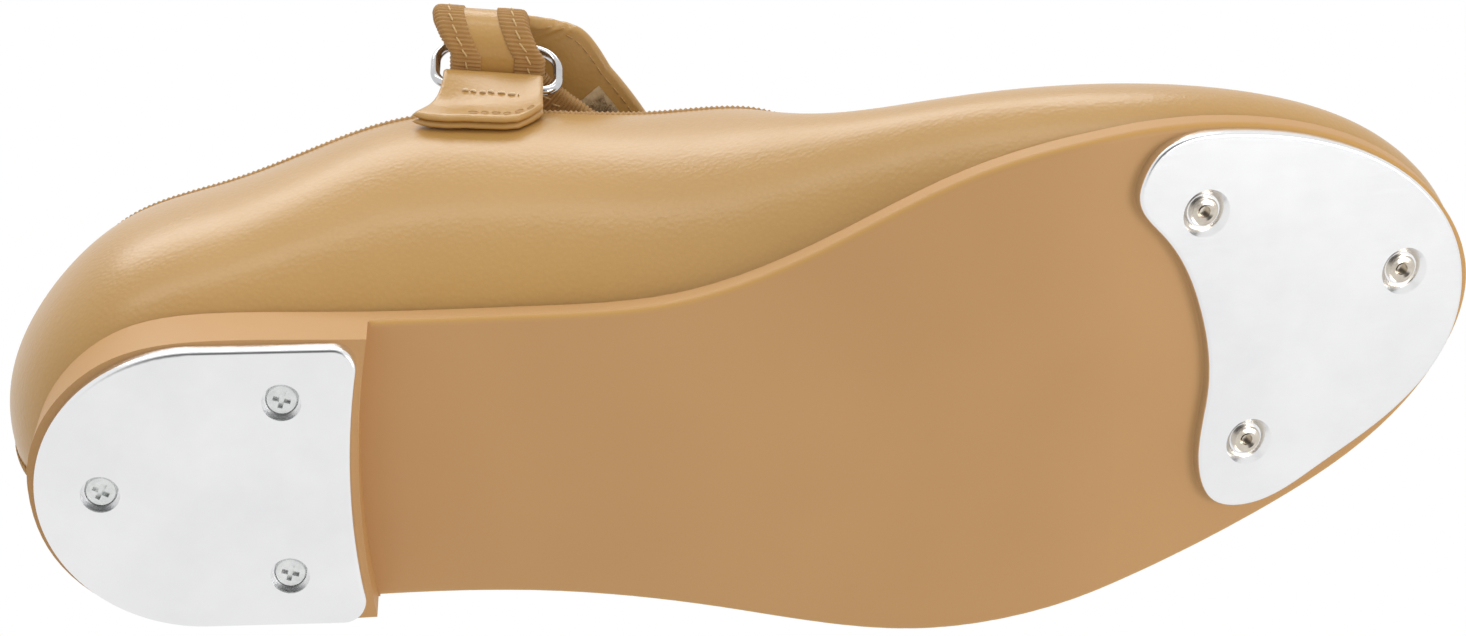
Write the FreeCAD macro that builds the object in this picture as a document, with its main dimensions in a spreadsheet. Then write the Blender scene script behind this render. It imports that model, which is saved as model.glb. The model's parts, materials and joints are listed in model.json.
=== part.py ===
# Tap shoe, left foot.  Millimetres.  +X runs from heel to toe along the heel's middle line,
# +Y is the outer (little toe) side, +Z is up, and the floor that the taps stand on is z = 0.
# The origin is the middle of the heel tap's walking face.
import FreeCAD, Part
import math
import os
import Sketcher

os.makedirs("parts", exist_ok=True)
doc = FreeCAD.newDocument("tap_shoe")
Vector = FreeCAD.Vector
Rotation = FreeCAD.Rotation
Placement = FreeCAD.Placement
UP = Vector(0, 0, 1)
SIDEWAYS = Vector(0, 1, 0)


# ---- driving dimensions ------------------------------------------------------------------

DIMENSIONS = (
    ("heel_tap_length", 55.0),
    ("heel_tap_width", 51.0),
    ("heel_tap_thickness", 3.0),
    ("heel_tap_edge", 0.8),
    ("heel_corner", 4.0),
    ("heel_rim", 1.2),
    ("heel_top_height", 15.0),
    ("breast_hollow", 2.4),
    ("toe_tap_start", 156.0),
    ("toe_tap_angle", 13.0),
    ("toe_tap_thickness", 2.5),
    ("toe_tap_edge", 0.6),
    ("sole_thickness", 4.4),
    ("sole_width", 140.0),
    ("sole_edge_round", 1.1),
    ("ball_radius", 70.0),
    ("screw_head_radius", 2.75),
    ("screw_head_thickness", 1.1),
    ("screw_seat_radius", 3.3),
    ("screw_seat_depth", 2.3),
    ("screw_shank_radius", 1.4),
    ("screw_length", 9.5),
    ("screw_hole_radius", 1.7),
    ("rivet_seat_radius", 4.2),
    ("rivet_seat_depth", 1.5),
    ("rivet_head_radius", 2.5),
    ("rivet_shank_radius", 1.6),
    ("rivet_hollow_radius", 1.0),
    ("rivet_hole_radius", 1.8),
    ("washer_radius", 4.0),
    ("washer_thickness", 0.6),
    ("core_depth", 9.0),
    ("board_thickness", 2.0),
    ("foam_thickness", 2.6),
    ("sock_thickness", 0.9),
    ("tap_board_thickness", 1.7),
    ("upper_thickness", 1.2),
    ("interlining_thickness", 1.0),
    ("lining_thickness", 0.8),
    ("binding_thickness", 0.5),
    ("layer_gap", 0.15),
    ("glue_line", 0.65),
    ("shank_length", 104.0),
    ("shank_width", 12.0),
    ("shank_thickness", 1.2),
    ("strap_width", 16.4),
    ("strap_thickness", 2.2),
    ("ring_width", 24.0),
    ("ring_height", 12.8),
    ("ring_wire", 1.8),
    ("tab_width", 17.0),
    ("tab_thickness", 1.3),
)

sheet = doc.addObject("Spreadsheet::Sheet", "dimensions")
for row, (alias, value) in enumerate(DIMENSIONS, start=1):
    sheet.set(f"A{row}", alias)
    sheet.set(f"B{row}", str(value))
    sheet.setAlias(f"B{row}", alias)
doc.recompute()


def size(alias):
    """A driving dimension, in millimetres or degrees."""
    return float(sheet.get(alias))


# ---- shapes shared by several pieces -----------------------------------------------------

TOE_ANGLE = math.radians(size("toe_tap_angle"))
BREAST_X = size("heel_tap_length") / 2
SOLE_END_X = 224.0
HEEL_BACK_X = -45.0
BREAST_HEIGHT = size("heel_top_height") - size("sole_thickness")


def toe_line(x):
    """Height of the sole's underside over the toe tap, a straight ramp."""
    lift = size("toe_tap_thickness") / math.cos(TOE_ANGLE)
    return lift + (x - size("toe_tap_start")) * math.tan(TOE_ANGLE)


RAMP_X = size("toe_tap_start") - 2.0
BALL_X = RAMP_X - size("ball_radius") * math.sin(TOE_ANGLE)
BALL_HEIGHT = toe_line(RAMP_X) - size("ball_radius") * (1 - math.cos(TOE_ANGLE))


def underside(x):
    """Height of the sole's underside: level at the breast, down to the ball, up the toe."""
    if x >= RAMP_X:
        return toe_line(x)
    if x >= BALL_X:
        return BALL_HEIGHT + size("ball_radius") - math.sqrt(size("ball_radius") ** 2 - (x - BALL_X) ** 2)
    if x <= BREAST_X:
        return BREAST_HEIGHT
    share = (x - BREAST_X) / (BALL_X - BREAST_X)
    fall = (1 + math.cos(math.pi * share ** 1.15)) / 2
    return BALL_HEIGHT + (BREAST_HEIGHT - BALL_HEIGHT) * fall


def sole_top(x):
    """Height of the sole's upper face, which the lasted upper and the insole rest on."""
    return underside(x) + size("sole_thickness")


# Ribs run up the upper from the feather line, where it meets the sole, to the topline:
# foot x, y; top x, y, z; then how far the curve leans out and rises as it leaves the foot,
# and how far it stands out and drops below the top.  Heel back first, then the inner side,
# toe and outer side.
RIBS = (
    (-28.0, 0.0, -31.5, 0.0, 64.0, 9.0, 9.0, 8.0, 16.0),
    (-24.3, -13.0, -26.5, -14.0, 63.5, 9.0, 9.0, 7.0, 16.0),
    (-13.0, -22.6, -15.0, -26.0, 62.5, 9.0, 9.0, 6.0, 16.0),
    (3.0, -25.3, 3.0, -32.5, 62.0, 11.0, 9.0, 5.0, 16.0),
    (28.0, -25.0, 30.0, -42.3, 63.0, 15.0, 9.0, 4.0, 16.0),
    (55.0, -25.8, 55.0, -44.3, 63.0, 17.0, 9.0, 4.0, 16.0),
    (80.0, -28.8, 78.0, -44.6, 60.0, 17.0, 10.0, 4.0, 15.0),
    (106.0, -40.3, 97.0, -46.4, 55.5, 16.0, 11.0, 5.0, 13.0),
    (128.0, -52.4, 109.0, -41.0, 52.0, 13.0, 14.0, 10.0, 10.0),
    (150.0, -58.6, 116.5, -31.5, 51.0, 11.0, 16.0, 20.0, 7.0),
    (180.0, -57.8, 120.8, -22.5, 52.0, 10.0, 17.0, 32.0, 7.0),
    (205.0, -46.4, 122.3, -16.5, 52.7, 11.0, 18.0, 39.0, 7.0),
    (216.2, -27.0, 122.7, -12.5, 53.0, 11.0, 18.0, 42.0, 7.0),
    (208.4, -6.9, 122.0, -8.5, 52.7, 11.0, 18.0, 39.0, 7.0),
    (182.0, 11.8, 120.0, -1.5, 52.0, 10.0, 17.0, 30.0, 7.0),
    (150.0, 24.0, 115.0, 8.0, 51.0, 9.0, 16.0, 19.0, 7.0),
    (120.0, 29.5, 105.0, 19.0, 52.0, 9.0, 14.0, 11.0, 11.0),
    (88.0, 26.7, 86.0, 28.5, 56.0, 11.0, 11.0, 8.0, 14.0),
    (55.0, 24.5, 55.0, 33.5, 60.5, 12.5, 9.0, 6.0, 16.0),
    (28.0, 25.0, 28.0, 33.0, 62.0, 11.0, 9.0, 6.0, 16.0),
    (3.0, 25.3, 3.0, 29.5, 62.0, 10.0, 9.0, 6.0, 16.0),
    (-13.0, 22.6, -15.0, 24.5, 62.5, 9.0, 9.0, 6.0, 16.0),
    (-24.3, 13.0, -26.5, 13.5, 63.5, 9.0, 9.0, 7.0, 16.0),
)
HEEL_CENTRE = Vector(0, 0, 0)
BALL_CENTRE = Vector(140, -15, 0)
MARGIN = 6.0
SOLE_RIM = 0.8
FEATHER_RISE = 0.6
OUTER_LIFT = 0.5
FEATHER_RUN = 1.2


def outward(x, y):
    """Level unit vector pointing away from the foot's middle line at a point of the outline."""
    spine = BALL_CENTRE - HEEL_CENTRE
    share = (Vector(x, y, 0) - HEEL_CENTRE).dot(spine) / spine.dot(spine)
    nearest = HEEL_CENTRE + spine * min(max(share, 0.0), 1.0)
    return (Vector(x, y, 0) - nearest).normalize()


def outline_points(grow):
    """The feather line seen from above, moved outwards by grow."""
    points = []
    for rib in RIBS:
        point = Vector(rib[0], rib[1], 0) + outward(rib[0], rib[1]) * grow
        points.append(point)
    return points


def seat(x, y):
    """Height at which the upper rests on the sole; a little higher over the outer ball."""
    outer_ball = x > 115 and y > 2
    return sole_top(x) + size("glue_line") + (OUTER_LIFT if outer_ball else 0)


def rib_point(rib, share):
    """A point of the upper's outer face, share of the way from feather line to topline."""
    direction = outward(rib[0], rib[1])
    foot = Vector(rib[0], rib[1], seat(rib[0], rib[1]) + FEATHER_RISE)
    top = Vector(rib[2], rib[3], rib[4])
    foot_handle = foot + direction * rib[5] + UP * rib[6]
    top_handle = top + direction * rib[7] - UP * rib[8]
    rest = 1 - share
    return (
        foot * rest ** 3
        + foot_handle * (3 * rest ** 2 * share)
        + top_handle * (3 * rest * share ** 2)
        + top * share ** 3
    )


TOP_SHARE = 0.97
WALL_SHARES = (0.0, 0.08, 0.18, 0.3, 0.43, 0.57, 0.71, 0.85, TOP_SHARE)


def margin_point(rib, inset, lift):
    """A point of the lasting margin, lift above the glue on the sole's upper face."""
    point = Vector(rib[0], rib[1], 0) - outward(rib[0], rib[1]) * inset
    return Vector(point.x, point.y, seat(point.x, point.y) + lift)


def wall_normal(rows, row, column):
    """Unit normal of the wall's grid at one point, pointing out of the shoe."""
    count = len(rows[row])
    along = rows[row][(column + 1) % count] - rows[row][column - 1]
    upward = rows[min(row + 1, len(rows) - 1)][column] - rows[max(row - 1, 0)][column]
    return along.cross(upward).normalize()


def skin_rows(depth):
    """Rows of points on a skin depth inside the upper's outer face: margin first, topline last."""
    wall = [[rib_point(rib, share) for rib in RIBS] for share in WALL_SHARES]
    rows = [
        [margin_point(rib, MARGIN, depth) for rib in RIBS],
        [margin_point(rib, FEATHER_RUN + depth, depth) for rib in RIBS],
        [margin_point(rib, depth, depth + FEATHER_RISE) for rib in RIBS],
    ]
    for row in range(1, len(wall)):
        line = []
        for column, point in enumerate(wall[row]):
            line.append(point - wall_normal(wall, row, column) * depth)
        rows.append(line)
    return rows


def rib_curve(points, first, last):
    """The run from one rib to another of a smooth closed curve through one point per rib."""
    turned = points[first:] + points[:first]
    curve = Part.BSplineCurve()
    curve.interpolate(Points=turned, PeriodicFlag=True)
    curve.segment(curve.FirstParameter, curve.parameter(turned[(last - first) % len(points)]))
    return curve.toShape()


def end_caps(edges, end):
    """Strips that close the cut end of a band, one between each pair of rows."""
    corners = [edge.Vertexes[end].Point for edge in edges]
    half = len(corners) // 2
    outer, inner = corners[:half], corners[half:][::-1]
    caps = []
    for row in range(half - 1):
        sides = [Part.makeLine(skin[row], skin[row + 1]) for skin in (outer, inner)]
        caps.extend(Part.makeRuledSurface(*sides).Faces)
    return caps


def band_solid(outer_rows, inner_rows, sectors, capped=True):
    """A solid layer of the shoe between two skins, over the given runs from rib to rib."""
    faces = []
    for first, last in sectors:
        edges = [rib_curve(points, first, last) for points in outer_rows + inner_rows[::-1]]
        for index, edge in enumerate(edges):
            faces.extend(Part.makeRuledSurface(edges[index - 1], edge).Faces)
        if capped:
            faces.extend(end_caps(edges, 0) + end_caps(edges, -1))
    shell = Part.makeShell(faces)
    shell.sewShape()
    solid = Part.makeSolid(shell)
    if solid.Volume < 0:
        solid.reverse()
    return solid


def shaped_piece(label, shape, placement=None):
    """A piece whose form has no sketch: it keeps the shape and gets its placement after."""
    piece = doc.addObject("Part::Feature", label)
    piece.Label = label
    piece.Shape = shape
    if placement is not None:
        piece.Placement = placement
    return piece


# ---- sketches and bodies -----------------------------------------------------------------


def new_body(label, placement=None):
    """An empty body with its own label and place."""
    body = doc.addObject("PartDesign::Body", label)
    body.Label = label
    if placement is not None:
        body.Placement = placement
    return body


def new_sketch(body, name, role="XY_Plane", offset=None):
    """A sketch on one of the body's own origin planes, moved by offset if given."""
    sketch = body.newObject("Sketcher::SketchObject", name)
    plane = next(item for item in body.Origin.OriginFeatures if item.Role == role)
    sketch.AttachmentSupport = [(plane, "")]
    sketch.MapMode = "FlatFace"
    if offset is not None:
        sketch.AttachmentOffset = offset
    return sketch


def raised(height):
    """An attachment offset that lifts a sketch off its plane."""
    return Placement(Vector(0, 0, height), Rotation())


def add_spline(sketch, points, closed=True):
    """A smooth curve through the points."""
    curve = Part.BSplineCurve()
    curve.interpolate(Points=points, PeriodicFlag=closed)
    return sketch.addGeometry(curve, False)


def add_line(sketch, start, end):
    """A straight edge between two points."""
    return sketch.addGeometry(Part.LineSegment(start, end), False)


def add_path(sketch, points):
    """Straight edges through the points and back to the first."""
    for start, end in zip(points, points[1:] + points[:1]):
        add_line(sketch, start, end)


def add_circle(sketch, x, y, alias):
    """A circle whose radius is bound to the sheet."""
    index = sketch.addGeometry(Part.Circle(Vector(x, y, 0), UP, size(alias)), False)
    constraint = sketch.addConstraint(Sketcher.Constraint("Radius", index, size(alias)))
    sketch.setExpression(f"Constraints[{constraint}]", f"dimensions.{alias}")
    return index


def pad(body, sketch, length, midplane=False, reverse=False):
    """A pad whose length is an expression of sheet cells."""
    feature = body.newObject("PartDesign::Pad", sketch.Name + "_pad")
    feature.Profile = sketch
    feature.setExpression("Length", length)
    feature.SideType = "Symmetric" if midplane else "One side"
    feature.Reversed = reverse
    sketch.Visibility = False
    return feature


def pocket(body, sketch, length=None, midplane=False, reverse=False):
    """A pocket of a given length, or right through."""
    feature = body.newObject("PartDesign::Pocket", sketch.Name + "_pocket")
    feature.Profile = sketch
    if length is None:
        feature.Type = "ThroughAll"
    else:
        feature.setExpression("Length", length)
    feature.SideType = "Symmetric" if midplane else "One side"
    feature.Reversed = reverse
    sketch.Visibility = False
    return feature


def edges_at_height(shape, low, high):
    """Names of the edges that lie wholly between two heights."""
    names = []
    for index, edge in enumerate(shape.Edges, start=1):
        box = edge.BoundBox
        if box.ZMin >= low and box.ZMax <= high:
            names.append(f"Edge{index}")
    return names


def round_edges(body, base, names, alias, kind="PartDesign::Fillet"):
    """Rounds or bevels the named edges of the body's last feature."""
    feature = body.newObject(kind, body.Label + "_edge")
    feature.Base = (base, names)
    feature.setExpression("Radius" if kind.endswith("Fillet") else "Size", f"dimensions.{alias}")
    return feature


def add_sole_curve(sketch, offset, start_x, end_x):
    """The sole's upper face seen from the side, moved up by offset: a curve, then the toe's ramp."""
    stations = (start_x, BREAST_X, 45.0, 65.0, 85.0, 110.0, BALL_X, 145.0, RAMP_X)
    ends = [Vector(x, sole_top(x) + offset, 0) for x in (start_x, end_x)]
    inside = [x for x in stations if start_x <= x < min(end_x, RAMP_X)]
    bent = [Vector(x, sole_top(x) + offset, 0) for x in sorted(set(inside))]
    if bent:
        bent_end = min(end_x, RAMP_X)
        bent.append(Vector(bent_end, sole_top(bent_end) + offset, 0))
        add_spline(sketch, bent, closed=False)
    if end_x > RAMP_X:
        add_line(sketch, bent[-1] if bent else ends[0], ends[1])
    return ends


def slab_profile(sketch, low, high, start_x, end_x):
    """A strip that follows the sole's upper face between two offsets, drawn on the XZ plane."""
    low_ends = add_sole_curve(sketch, low, start_x, end_x)
    high_ends = add_sole_curve(sketch, high, start_x, end_x)
    add_line(sketch, low_ends[0], high_ends[0])
    add_line(sketch, low_ends[1], high_ends[1])


def add_frame(sketch):
    """A large rectangle round a plan outline, so that a pocket removes all outside the outline."""
    reach = 320.0
    signs = ((-1, -1), (1, -1), (1, 1), (-1, 1))
    add_path(sketch, [Vector(x_sign * reach, y_sign * reach, 0) for x_sign, y_sign in signs])


def outline_slab(label, low, high, grow, start_x=HEEL_BACK_X, end_x=SOLE_END_X):
    """A layer that lies on the sole: its outline is the feather line moved by grow."""
    body = new_body(label)
    side = new_sketch(body, label + "_side", "XZ_Plane")
    slab_profile(side, low, high, start_x, end_x)
    pad(body, side, "dimensions.sole_width", midplane=True)
    plan = new_sketch(body, label + "_plan", "XY_Plane", raised(-20))
    add_frame(plan)
    add_spline(plan, outline_points(grow))
    doc.recompute()
    pocket(body, plan, reverse=True)
    return body


doc.recompute()


# ---- outsole and heel --------------------------------------------------------------------

HEEL_SCREWS = ((-16.5, 0.0), (14.2, -16.0), (14.2, 16.0))
TOE_RIVETS = ((11.9, -45.3), (49.5, -30.9), (22.6, -2.4))
TOE_PLACE = Placement(Vector(size("toe_tap_start"), 0, 0), Rotation(SIDEWAYS, -size("toe_tap_angle")))


def heel_outline(sketch, grow):
    """The heel seen from above: half an ellipse behind, straight sides, hollow breast in front."""
    half_length = size("heel_tap_length") / 2 + grow
    half_width = size("heel_tap_width") / 2 + grow
    ellipse = Part.Ellipse(Vector(0, 0, 0), half_length, half_width)
    sketch.addGeometry(Part.ArcOfEllipse(ellipse, math.pi / 2, 3 * math.pi / 2), False)
    corners = [Vector(half_length, side * half_width, 0) for side in (1, -1)]
    add_line(sketch, Vector(0, half_width, 0), corners[0])
    add_line(sketch, Vector(0, -half_width, 0), corners[1])
    hollow = Vector(half_length - size("breast_hollow"), 0, 0)
    sketch.addGeometry(Part.Arc(corners[0], hollow, corners[1]), False)


def corner_edges(shape, x_low):
    """Upright edges at the two front corners of the heel."""
    names = []
    for index, edge in enumerate(shape.Edges, start=1):
        box = edge.BoundBox
        if box.XMin > x_low and box.XLength < 0.1 and box.YLength < 0.1 and box.ZLength > 0.5:
            names.append(f"Edge{index}")
    return names


def on_tread(edge):
    """True if an edge lies all along the sole's underside, in front of the breast."""
    for share in (0.1, 0.5, 0.9):
        value = edge.FirstParameter + share * (edge.LastParameter - edge.FirstParameter)
        point = edge.valueAt(value)
        if point.x < BREAST_X + size("heel_rim") + 0.1 or abs(point.z - underside(point.x)) > 0.1:
            return False
    return True


def make_outsole():
    """One moulded unit: the sole and the low heel, with holes for the screws and rivets."""
    body = new_body("outsole")
    side = new_sketch(body, "outsole_side", "XZ_Plane")
    breast = BREAST_X + size("heel_rim")
    tread_ends = add_sole_curve(side, -size("sole_thickness"), breast, SOLE_END_X)
    top_ends = add_sole_curve(side, 0.0, breast, SOLE_END_X)
    heel_face = size("heel_tap_thickness")
    corners = [
        top_ends[0],
        Vector(HEEL_BACK_X, size("heel_top_height"), 0),
        Vector(HEEL_BACK_X, heel_face, 0),
        Vector(breast, heel_face, 0),
        tread_ends[0],
    ]
    for start, end in zip(corners, corners[1:]):
        add_line(side, start, end)
    add_line(side, tread_ends[1], top_ends[1])
    pad(body, side, "dimensions.sole_width", midplane=True)
    plan = new_sketch(body, "outsole_plan", "XY_Plane", raised(-20))
    add_frame(plan)
    add_spline(plan, outline_points(SOLE_RIM))
    doc.recompute()
    cut = pocket(body, plan, reverse=True)
    doc.recompute()
    tread = [f"Edge{index}" for index, edge in enumerate(cut.Shape.Edges, start=1) if on_tread(edge)]
    round_edges(body, cut, tread, "sole_edge_round")
    hollow = new_sketch(body, "breast_hollow_plan", "XY_Plane", raised(BREAST_HEIGHT))
    reach = size("heel_tap_width") / 2 + 2
    ends = [Vector(breast + 0.01, side_y, 0) for side_y in (reach, -reach)]
    middle = Vector(breast - size("breast_hollow"), 0, 0)
    hollow.addGeometry(Part.Arc(ends[0], middle, ends[1]), False)
    add_line(hollow, ends[1], ends[0])
    doc.recompute()
    pocket(body, hollow, "dimensions.heel_top_height")
    core = new_sketch(body, "core_room", "XY_Plane", raised(size("heel_top_height")))
    heel_outline(core, -6.0)
    doc.recompute()
    pocket(body, core, "dimensions.core_depth")
    holes = new_sketch(body, "screw_holes", "XY_Plane", raised(-1))
    for x, y in HEEL_SCREWS:
        add_circle(holes, x, y, "screw_hole_radius")
    doc.recompute()
    pocket(body, holes, "dimensions.heel_top_height - 2", reverse=True)
    rivets = new_sketch(body, "rivet_holes", "XY_Plane", TOE_PLACE)
    for x, y in TOE_RIVETS:
        add_circle(rivets, x, y, "rivet_hole_radius")
    doc.recompute()
    pocket(body, rivets, "4 * dimensions.sole_thickness", reverse=True)
    return body


def make_heel_core():
    """The hard insert in the heel that the screws bite into."""
    body = new_body("heel_core")
    plan = new_sketch(body, "core_plan", "XY_Plane", raised(size("heel_top_height") - size("core_depth")))
    heel_outline(plan, -6.0)
    pad(body, plan, "dimensions.core_depth - 0.2")
    holes = new_sketch(body, "core_holes", "XY_Plane", raised(0))
    for x, y in HEEL_SCREWS:
        add_circle(holes, x, y, "screw_shank_radius")
    doc.recompute()
    pocket(body, holes, "dimensions.heel_tap_thickness + dimensions.screw_length + 0.5", reverse=True)
    return body


def make_heel_tap():
    """The heel plate: rounded walking edge and three flat-bottomed screw seats."""
    body = new_body("heel_tap")
    plan = new_sketch(body, "tap_plan")
    heel_outline(plan, 0.0)
    plate = pad(body, plan, "dimensions.heel_tap_thickness")
    doc.recompute()
    corners = round_edges(body, plate, corner_edges(plate.Shape, 20), "heel_corner")
    doc.recompute()
    rim = edges_at_height(corners.Shape, -0.01, 0.01)
    round_edges(body, corners, rim, "heel_tap_edge")
    seats = new_sketch(body, "screw_seats")
    for x, y in HEEL_SCREWS:
        add_circle(seats, x, y, "screw_seat_radius")
    doc.recompute()
    pocket(body, seats, "dimensions.screw_seat_depth", reverse=True)
    holes = new_sketch(body, "screw_clearance")
    for x, y in HEEL_SCREWS:
        add_circle(holes, x, y, "screw_hole_radius")
    doc.recompute()
    pocket(body, holes, "dimensions.heel_tap_thickness + 1", reverse=True)
    return body


# ---- toe tap -----------------------------------------------------------------------------

TOE_TAP_OUTLINE = (
    (0.0, -51.0),
    (4.5, -57.6),
    (17.0, -59.0),
    (36.0, -55.0),
    (52.0, -45.5),
    (60.5, -31.0),
    (59.5, -17.5),
    (50.0, -5.0),
    (36.0, 4.2),
    (24.0, 9.6),
    (16.8, 8.2),
    (13.6, 1.5),
    (14.4, -13.0),
    (11.8, -28.5),
    (4.5, -41.8),
)


def make_toe_tap():
    """The kidney-shaped toe plate, lying on the ramp under the toe, with dished rivet seats."""
    body = new_body("toe_tap", TOE_PLACE)
    plan = new_sketch(body, "toe_plan")
    add_spline(plan, [Vector(x, y, 0) for x, y in TOE_TAP_OUTLINE])
    plate = pad(body, plan, "dimensions.toe_tap_thickness")
    doc.recompute()
    rim = edges_at_height(plate.Shape, -0.01, 0.01)
    round_edges(body, plate, rim, "toe_tap_edge")
    seats = new_sketch(body, "rivet_seats")
    for x, y in TOE_RIVETS:
        add_circle(seats, x, y, "rivet_seat_radius")
    doc.recompute()
    dish = pocket(body, seats, "dimensions.rivet_seat_depth", reverse=True)
    dish.TaperAngle = -40
    holes = new_sketch(body, "rivet_clearance")
    for x, y in TOE_RIVETS:
        add_circle(holes, x, y, "rivet_hole_radius")
    doc.recompute()
    pocket(body, holes, "dimensions.toe_tap_thickness + 1", reverse=True)
    return body


# ---- fasteners ---------------------------------------------------------------------------


def turned_body(label, profile):
    """A turned part: its half profile (radius, height) spun about the upright axis."""
    body = new_body(label)
    sketch = new_sketch(body, label + "_profile", "XZ_Plane")
    add_path(sketch, [Vector(radius, height, 0) for radius, height in profile])
    spin = body.newObject("PartDesign::Revolution", label + "_spin")
    spin.Profile = sketch
    spin.ReferenceAxis = (sketch, ["V_Axis"])
    spin.Angle = 360
    sketch.Visibility = False
    doc.recompute()
    return body


def copies(label, master, places):
    """One node that holds a separate copy of the master at each place."""
    solids = []
    for place in places:
        solid = master.Shape.copy()
        solid.Placement = place.multiply(solid.Placement)
        solids.append(solid)
    return shaped_piece(label, Part.makeCompound(solids))


def make_heel_screws():
    """Three flat-headed wood screws with a cross recess, heads sunk in the heel tap."""
    face = size("screw_seat_depth") - size("screw_head_thickness")
    seat = size("screw_seat_depth")
    head = size("screw_head_radius")
    shank = size("screw_shank_radius")
    end = seat + size("screw_length")
    bevel = 0.3
    profile = ((0, face), (head - bevel, face), (head, face + bevel), (head, seat))
    profile += ((shank, seat), (shank, end - shank), (0, end))
    master = turned_body("screw_master", profile)
    recess = new_sketch(master, "cross_recess", "XY_Plane", raised(face))
    arm, half = 1.5, 0.42
    corners = []
    for quarter in range(4):
        turn = Rotation(UP, 90 * quarter)
        for point in (Vector(arm, -half, 0), Vector(arm, half, 0), Vector(half, half, 0)):
            corners.append(turn.multVec(point))
    add_path(recess, corners)
    pocket(master, recess, "dimensions.screw_head_thickness - 0.3", reverse=True)
    doc.recompute()
    places = [Placement(Vector(x, y, 0), Rotation(UP, 20 * x)) for x, y in HEEL_SCREWS]
    return copies("heel_tap_screws", master, places)


def rivet_places():
    """Where the toe rivets stand, square to the toe tap."""
    return [TOE_PLACE.multiply(Placement(Vector(x, y, 0), Rotation())) for x, y in TOE_RIVETS]


def rivet_reach():
    """Depth from the toe tap's walking face to the top of the clinched washers."""
    return size("toe_tap_thickness") + size("sole_thickness") + size("tap_board_thickness")


def make_toe_rivets():
    """Three semi-hollow rivets: a rolled head in the dish, a shank through the sole, a clinch."""
    seat = size("rivet_seat_depth")
    head = size("rivet_head_radius")
    shank = size("rivet_shank_radius")
    hollow = size("rivet_hollow_radius")
    top = rivet_reach() + size("washer_thickness")
    profile = (
        (0, seat + 0.4),
        (hollow, seat + 0.4),
        (hollow, seat - 0.75),
        (hollow + 0.5, seat - 1.1),
        (head - 0.3, seat - 0.9),
        (head, seat - 0.5),
        (head, seat),
        (shank, seat),
        (shank, top),
        (head, top),
        (head, top + 0.4),
        (0, top + 0.4),
    )
    master = turned_body("rivet_master", profile)
    return copies("toe_tap_rivets", master, rivet_places())


def make_rivet_washers():
    """Three flat washers under the rivets' clinched ends."""
    inner = size("rivet_shank_radius") + 0.1
    outer = size("washer_radius")
    low = rivet_reach()
    high = low + size("washer_thickness")
    master = turned_body("washer_master", ((inner, low), (outer, low), (outer, high), (inner, high)))
    return copies("rivet_washers", master, rivet_places())


# ---- boards and cushion under the foot ---------------------------------------------------

SKINS = size("upper_thickness") + size("interlining_thickness") + size("lining_thickness")
WINDOW = -(MARGIN + 1.0)


def make_shank():
    """The steel strip that stiffens the waist."""
    start = -8.0
    body = new_body("shank")
    side = new_sketch(body, "shank_side", "XZ_Plane")
    lift = 0.2
    slab_profile(side, lift, lift + size("shank_thickness"), start, start + size("shank_length"))
    pad(body, side, "dimensions.shank_width", midplane=True)
    body.Placement = Placement(Vector(0, -2.5, 0), Rotation(UP, -3))
    return body


def make_tap_board():
    """The fibre board that the rivets are clinched over, inside the lasting margin."""
    low = size("layer_gap") / 2
    body = outline_slab("tap_board", low, size("tap_board_thickness"), WINDOW, 158.0, SOLE_END_X)
    holes = new_sketch(body, "board_holes", "XY_Plane", TOE_PLACE)
    for x, y in TOE_RIVETS:
        add_circle(holes, x, y, "rivet_hole_radius")
    doc.recompute()
    pocket(body, holes, "20 * dimensions.tap_board_thickness", reverse=True)
    return body


def make_under_foot():
    """Filler, lasting board, foam and cloth cover, one on the other."""
    gap = size("layer_gap")
    bottom = SKINS + size("glue_line") + 6 * gap
    board = bottom + size("board_thickness")
    foam = board + size("foam_thickness")
    sock = foam + size("sock_thickness")
    inset = -(SKINS + FEATHER_RUN + 5 * gap)
    return [
        outline_slab("bottom_filler", gap, SKINS - gap, WINDOW, 100.0, 154.0),
        outline_slab("insole_board", bottom, board, inset),
        outline_slab("foam_insole", board + gap / 2, foam, inset),
        outline_slab("sock_liner", foam + gap / 2, sock, inset),
    ]


# ---- upper, its layers and the binding ---------------------------------------------------


COUNTER = (18, 5)
INNER_SIDE = (5, 10)
PUFF = (10, 14)
OUTER_SIDE = (14, 18)
ALL_ROUND = (COUNTER, INNER_SIDE, PUFF, OUTER_SIDE)


def make_upper_layers():
    """The leather outside, the stiffeners and padding in the middle, the lining inside."""
    gap = size("layer_gap")
    outer = size("upper_thickness")
    middle = outer + size("interlining_thickness")
    padding = (skin_rows(outer + gap), skin_rows(middle))
    sides = [band_solid(*padding, [run]) for run in (INNER_SIDE, OUTER_SIDE)]
    upper = band_solid(skin_rows(0.0), skin_rows(outer), ALL_ROUND, capped=False)
    lining = band_solid(skin_rows(middle + gap), skin_rows(SKINS), ALL_ROUND, capped=False)
    return [
        shaped_piece("upper", upper),
        shaped_piece("heel_counter", band_solid(*padding, [COUNTER])),
        shaped_piece("interlining", Part.makeCompound(sides)),
        shaped_piece("toe_puff", band_solid(*padding, [PUFF])),
        shaped_piece("lining", lining),
    ]


def topline_row(share, depth):
    """A row of points near the topline, depth inside the upper's outer face."""
    shares = (share - 0.05, share, share + 0.05)
    wall = [[rib_point(rib, value) for rib in RIBS] for value in shares]
    return [point - wall_normal(wall, 1, column) * depth for column, point in enumerate(wall[1])]


def make_collar_binding():
    """The ribbed tape that caps the edge of all the layers round the foot opening."""
    proud = size("binding_thickness")
    bevel = 0.2
    start = TOP_SHARE + 0.01
    outer_rows = [topline_row(start, -proud), topline_row(1.0, bevel - proud)]
    inner_rows = [topline_row(start, SKINS + proud), topline_row(1.0, SKINS + proud - bevel)]
    return shaped_piece("collar_binding", band_solid(outer_rows, inner_rows, ALL_ROUND, capped=False))


# ---- strap, ring and tab -----------------------------------------------------------------

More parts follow.
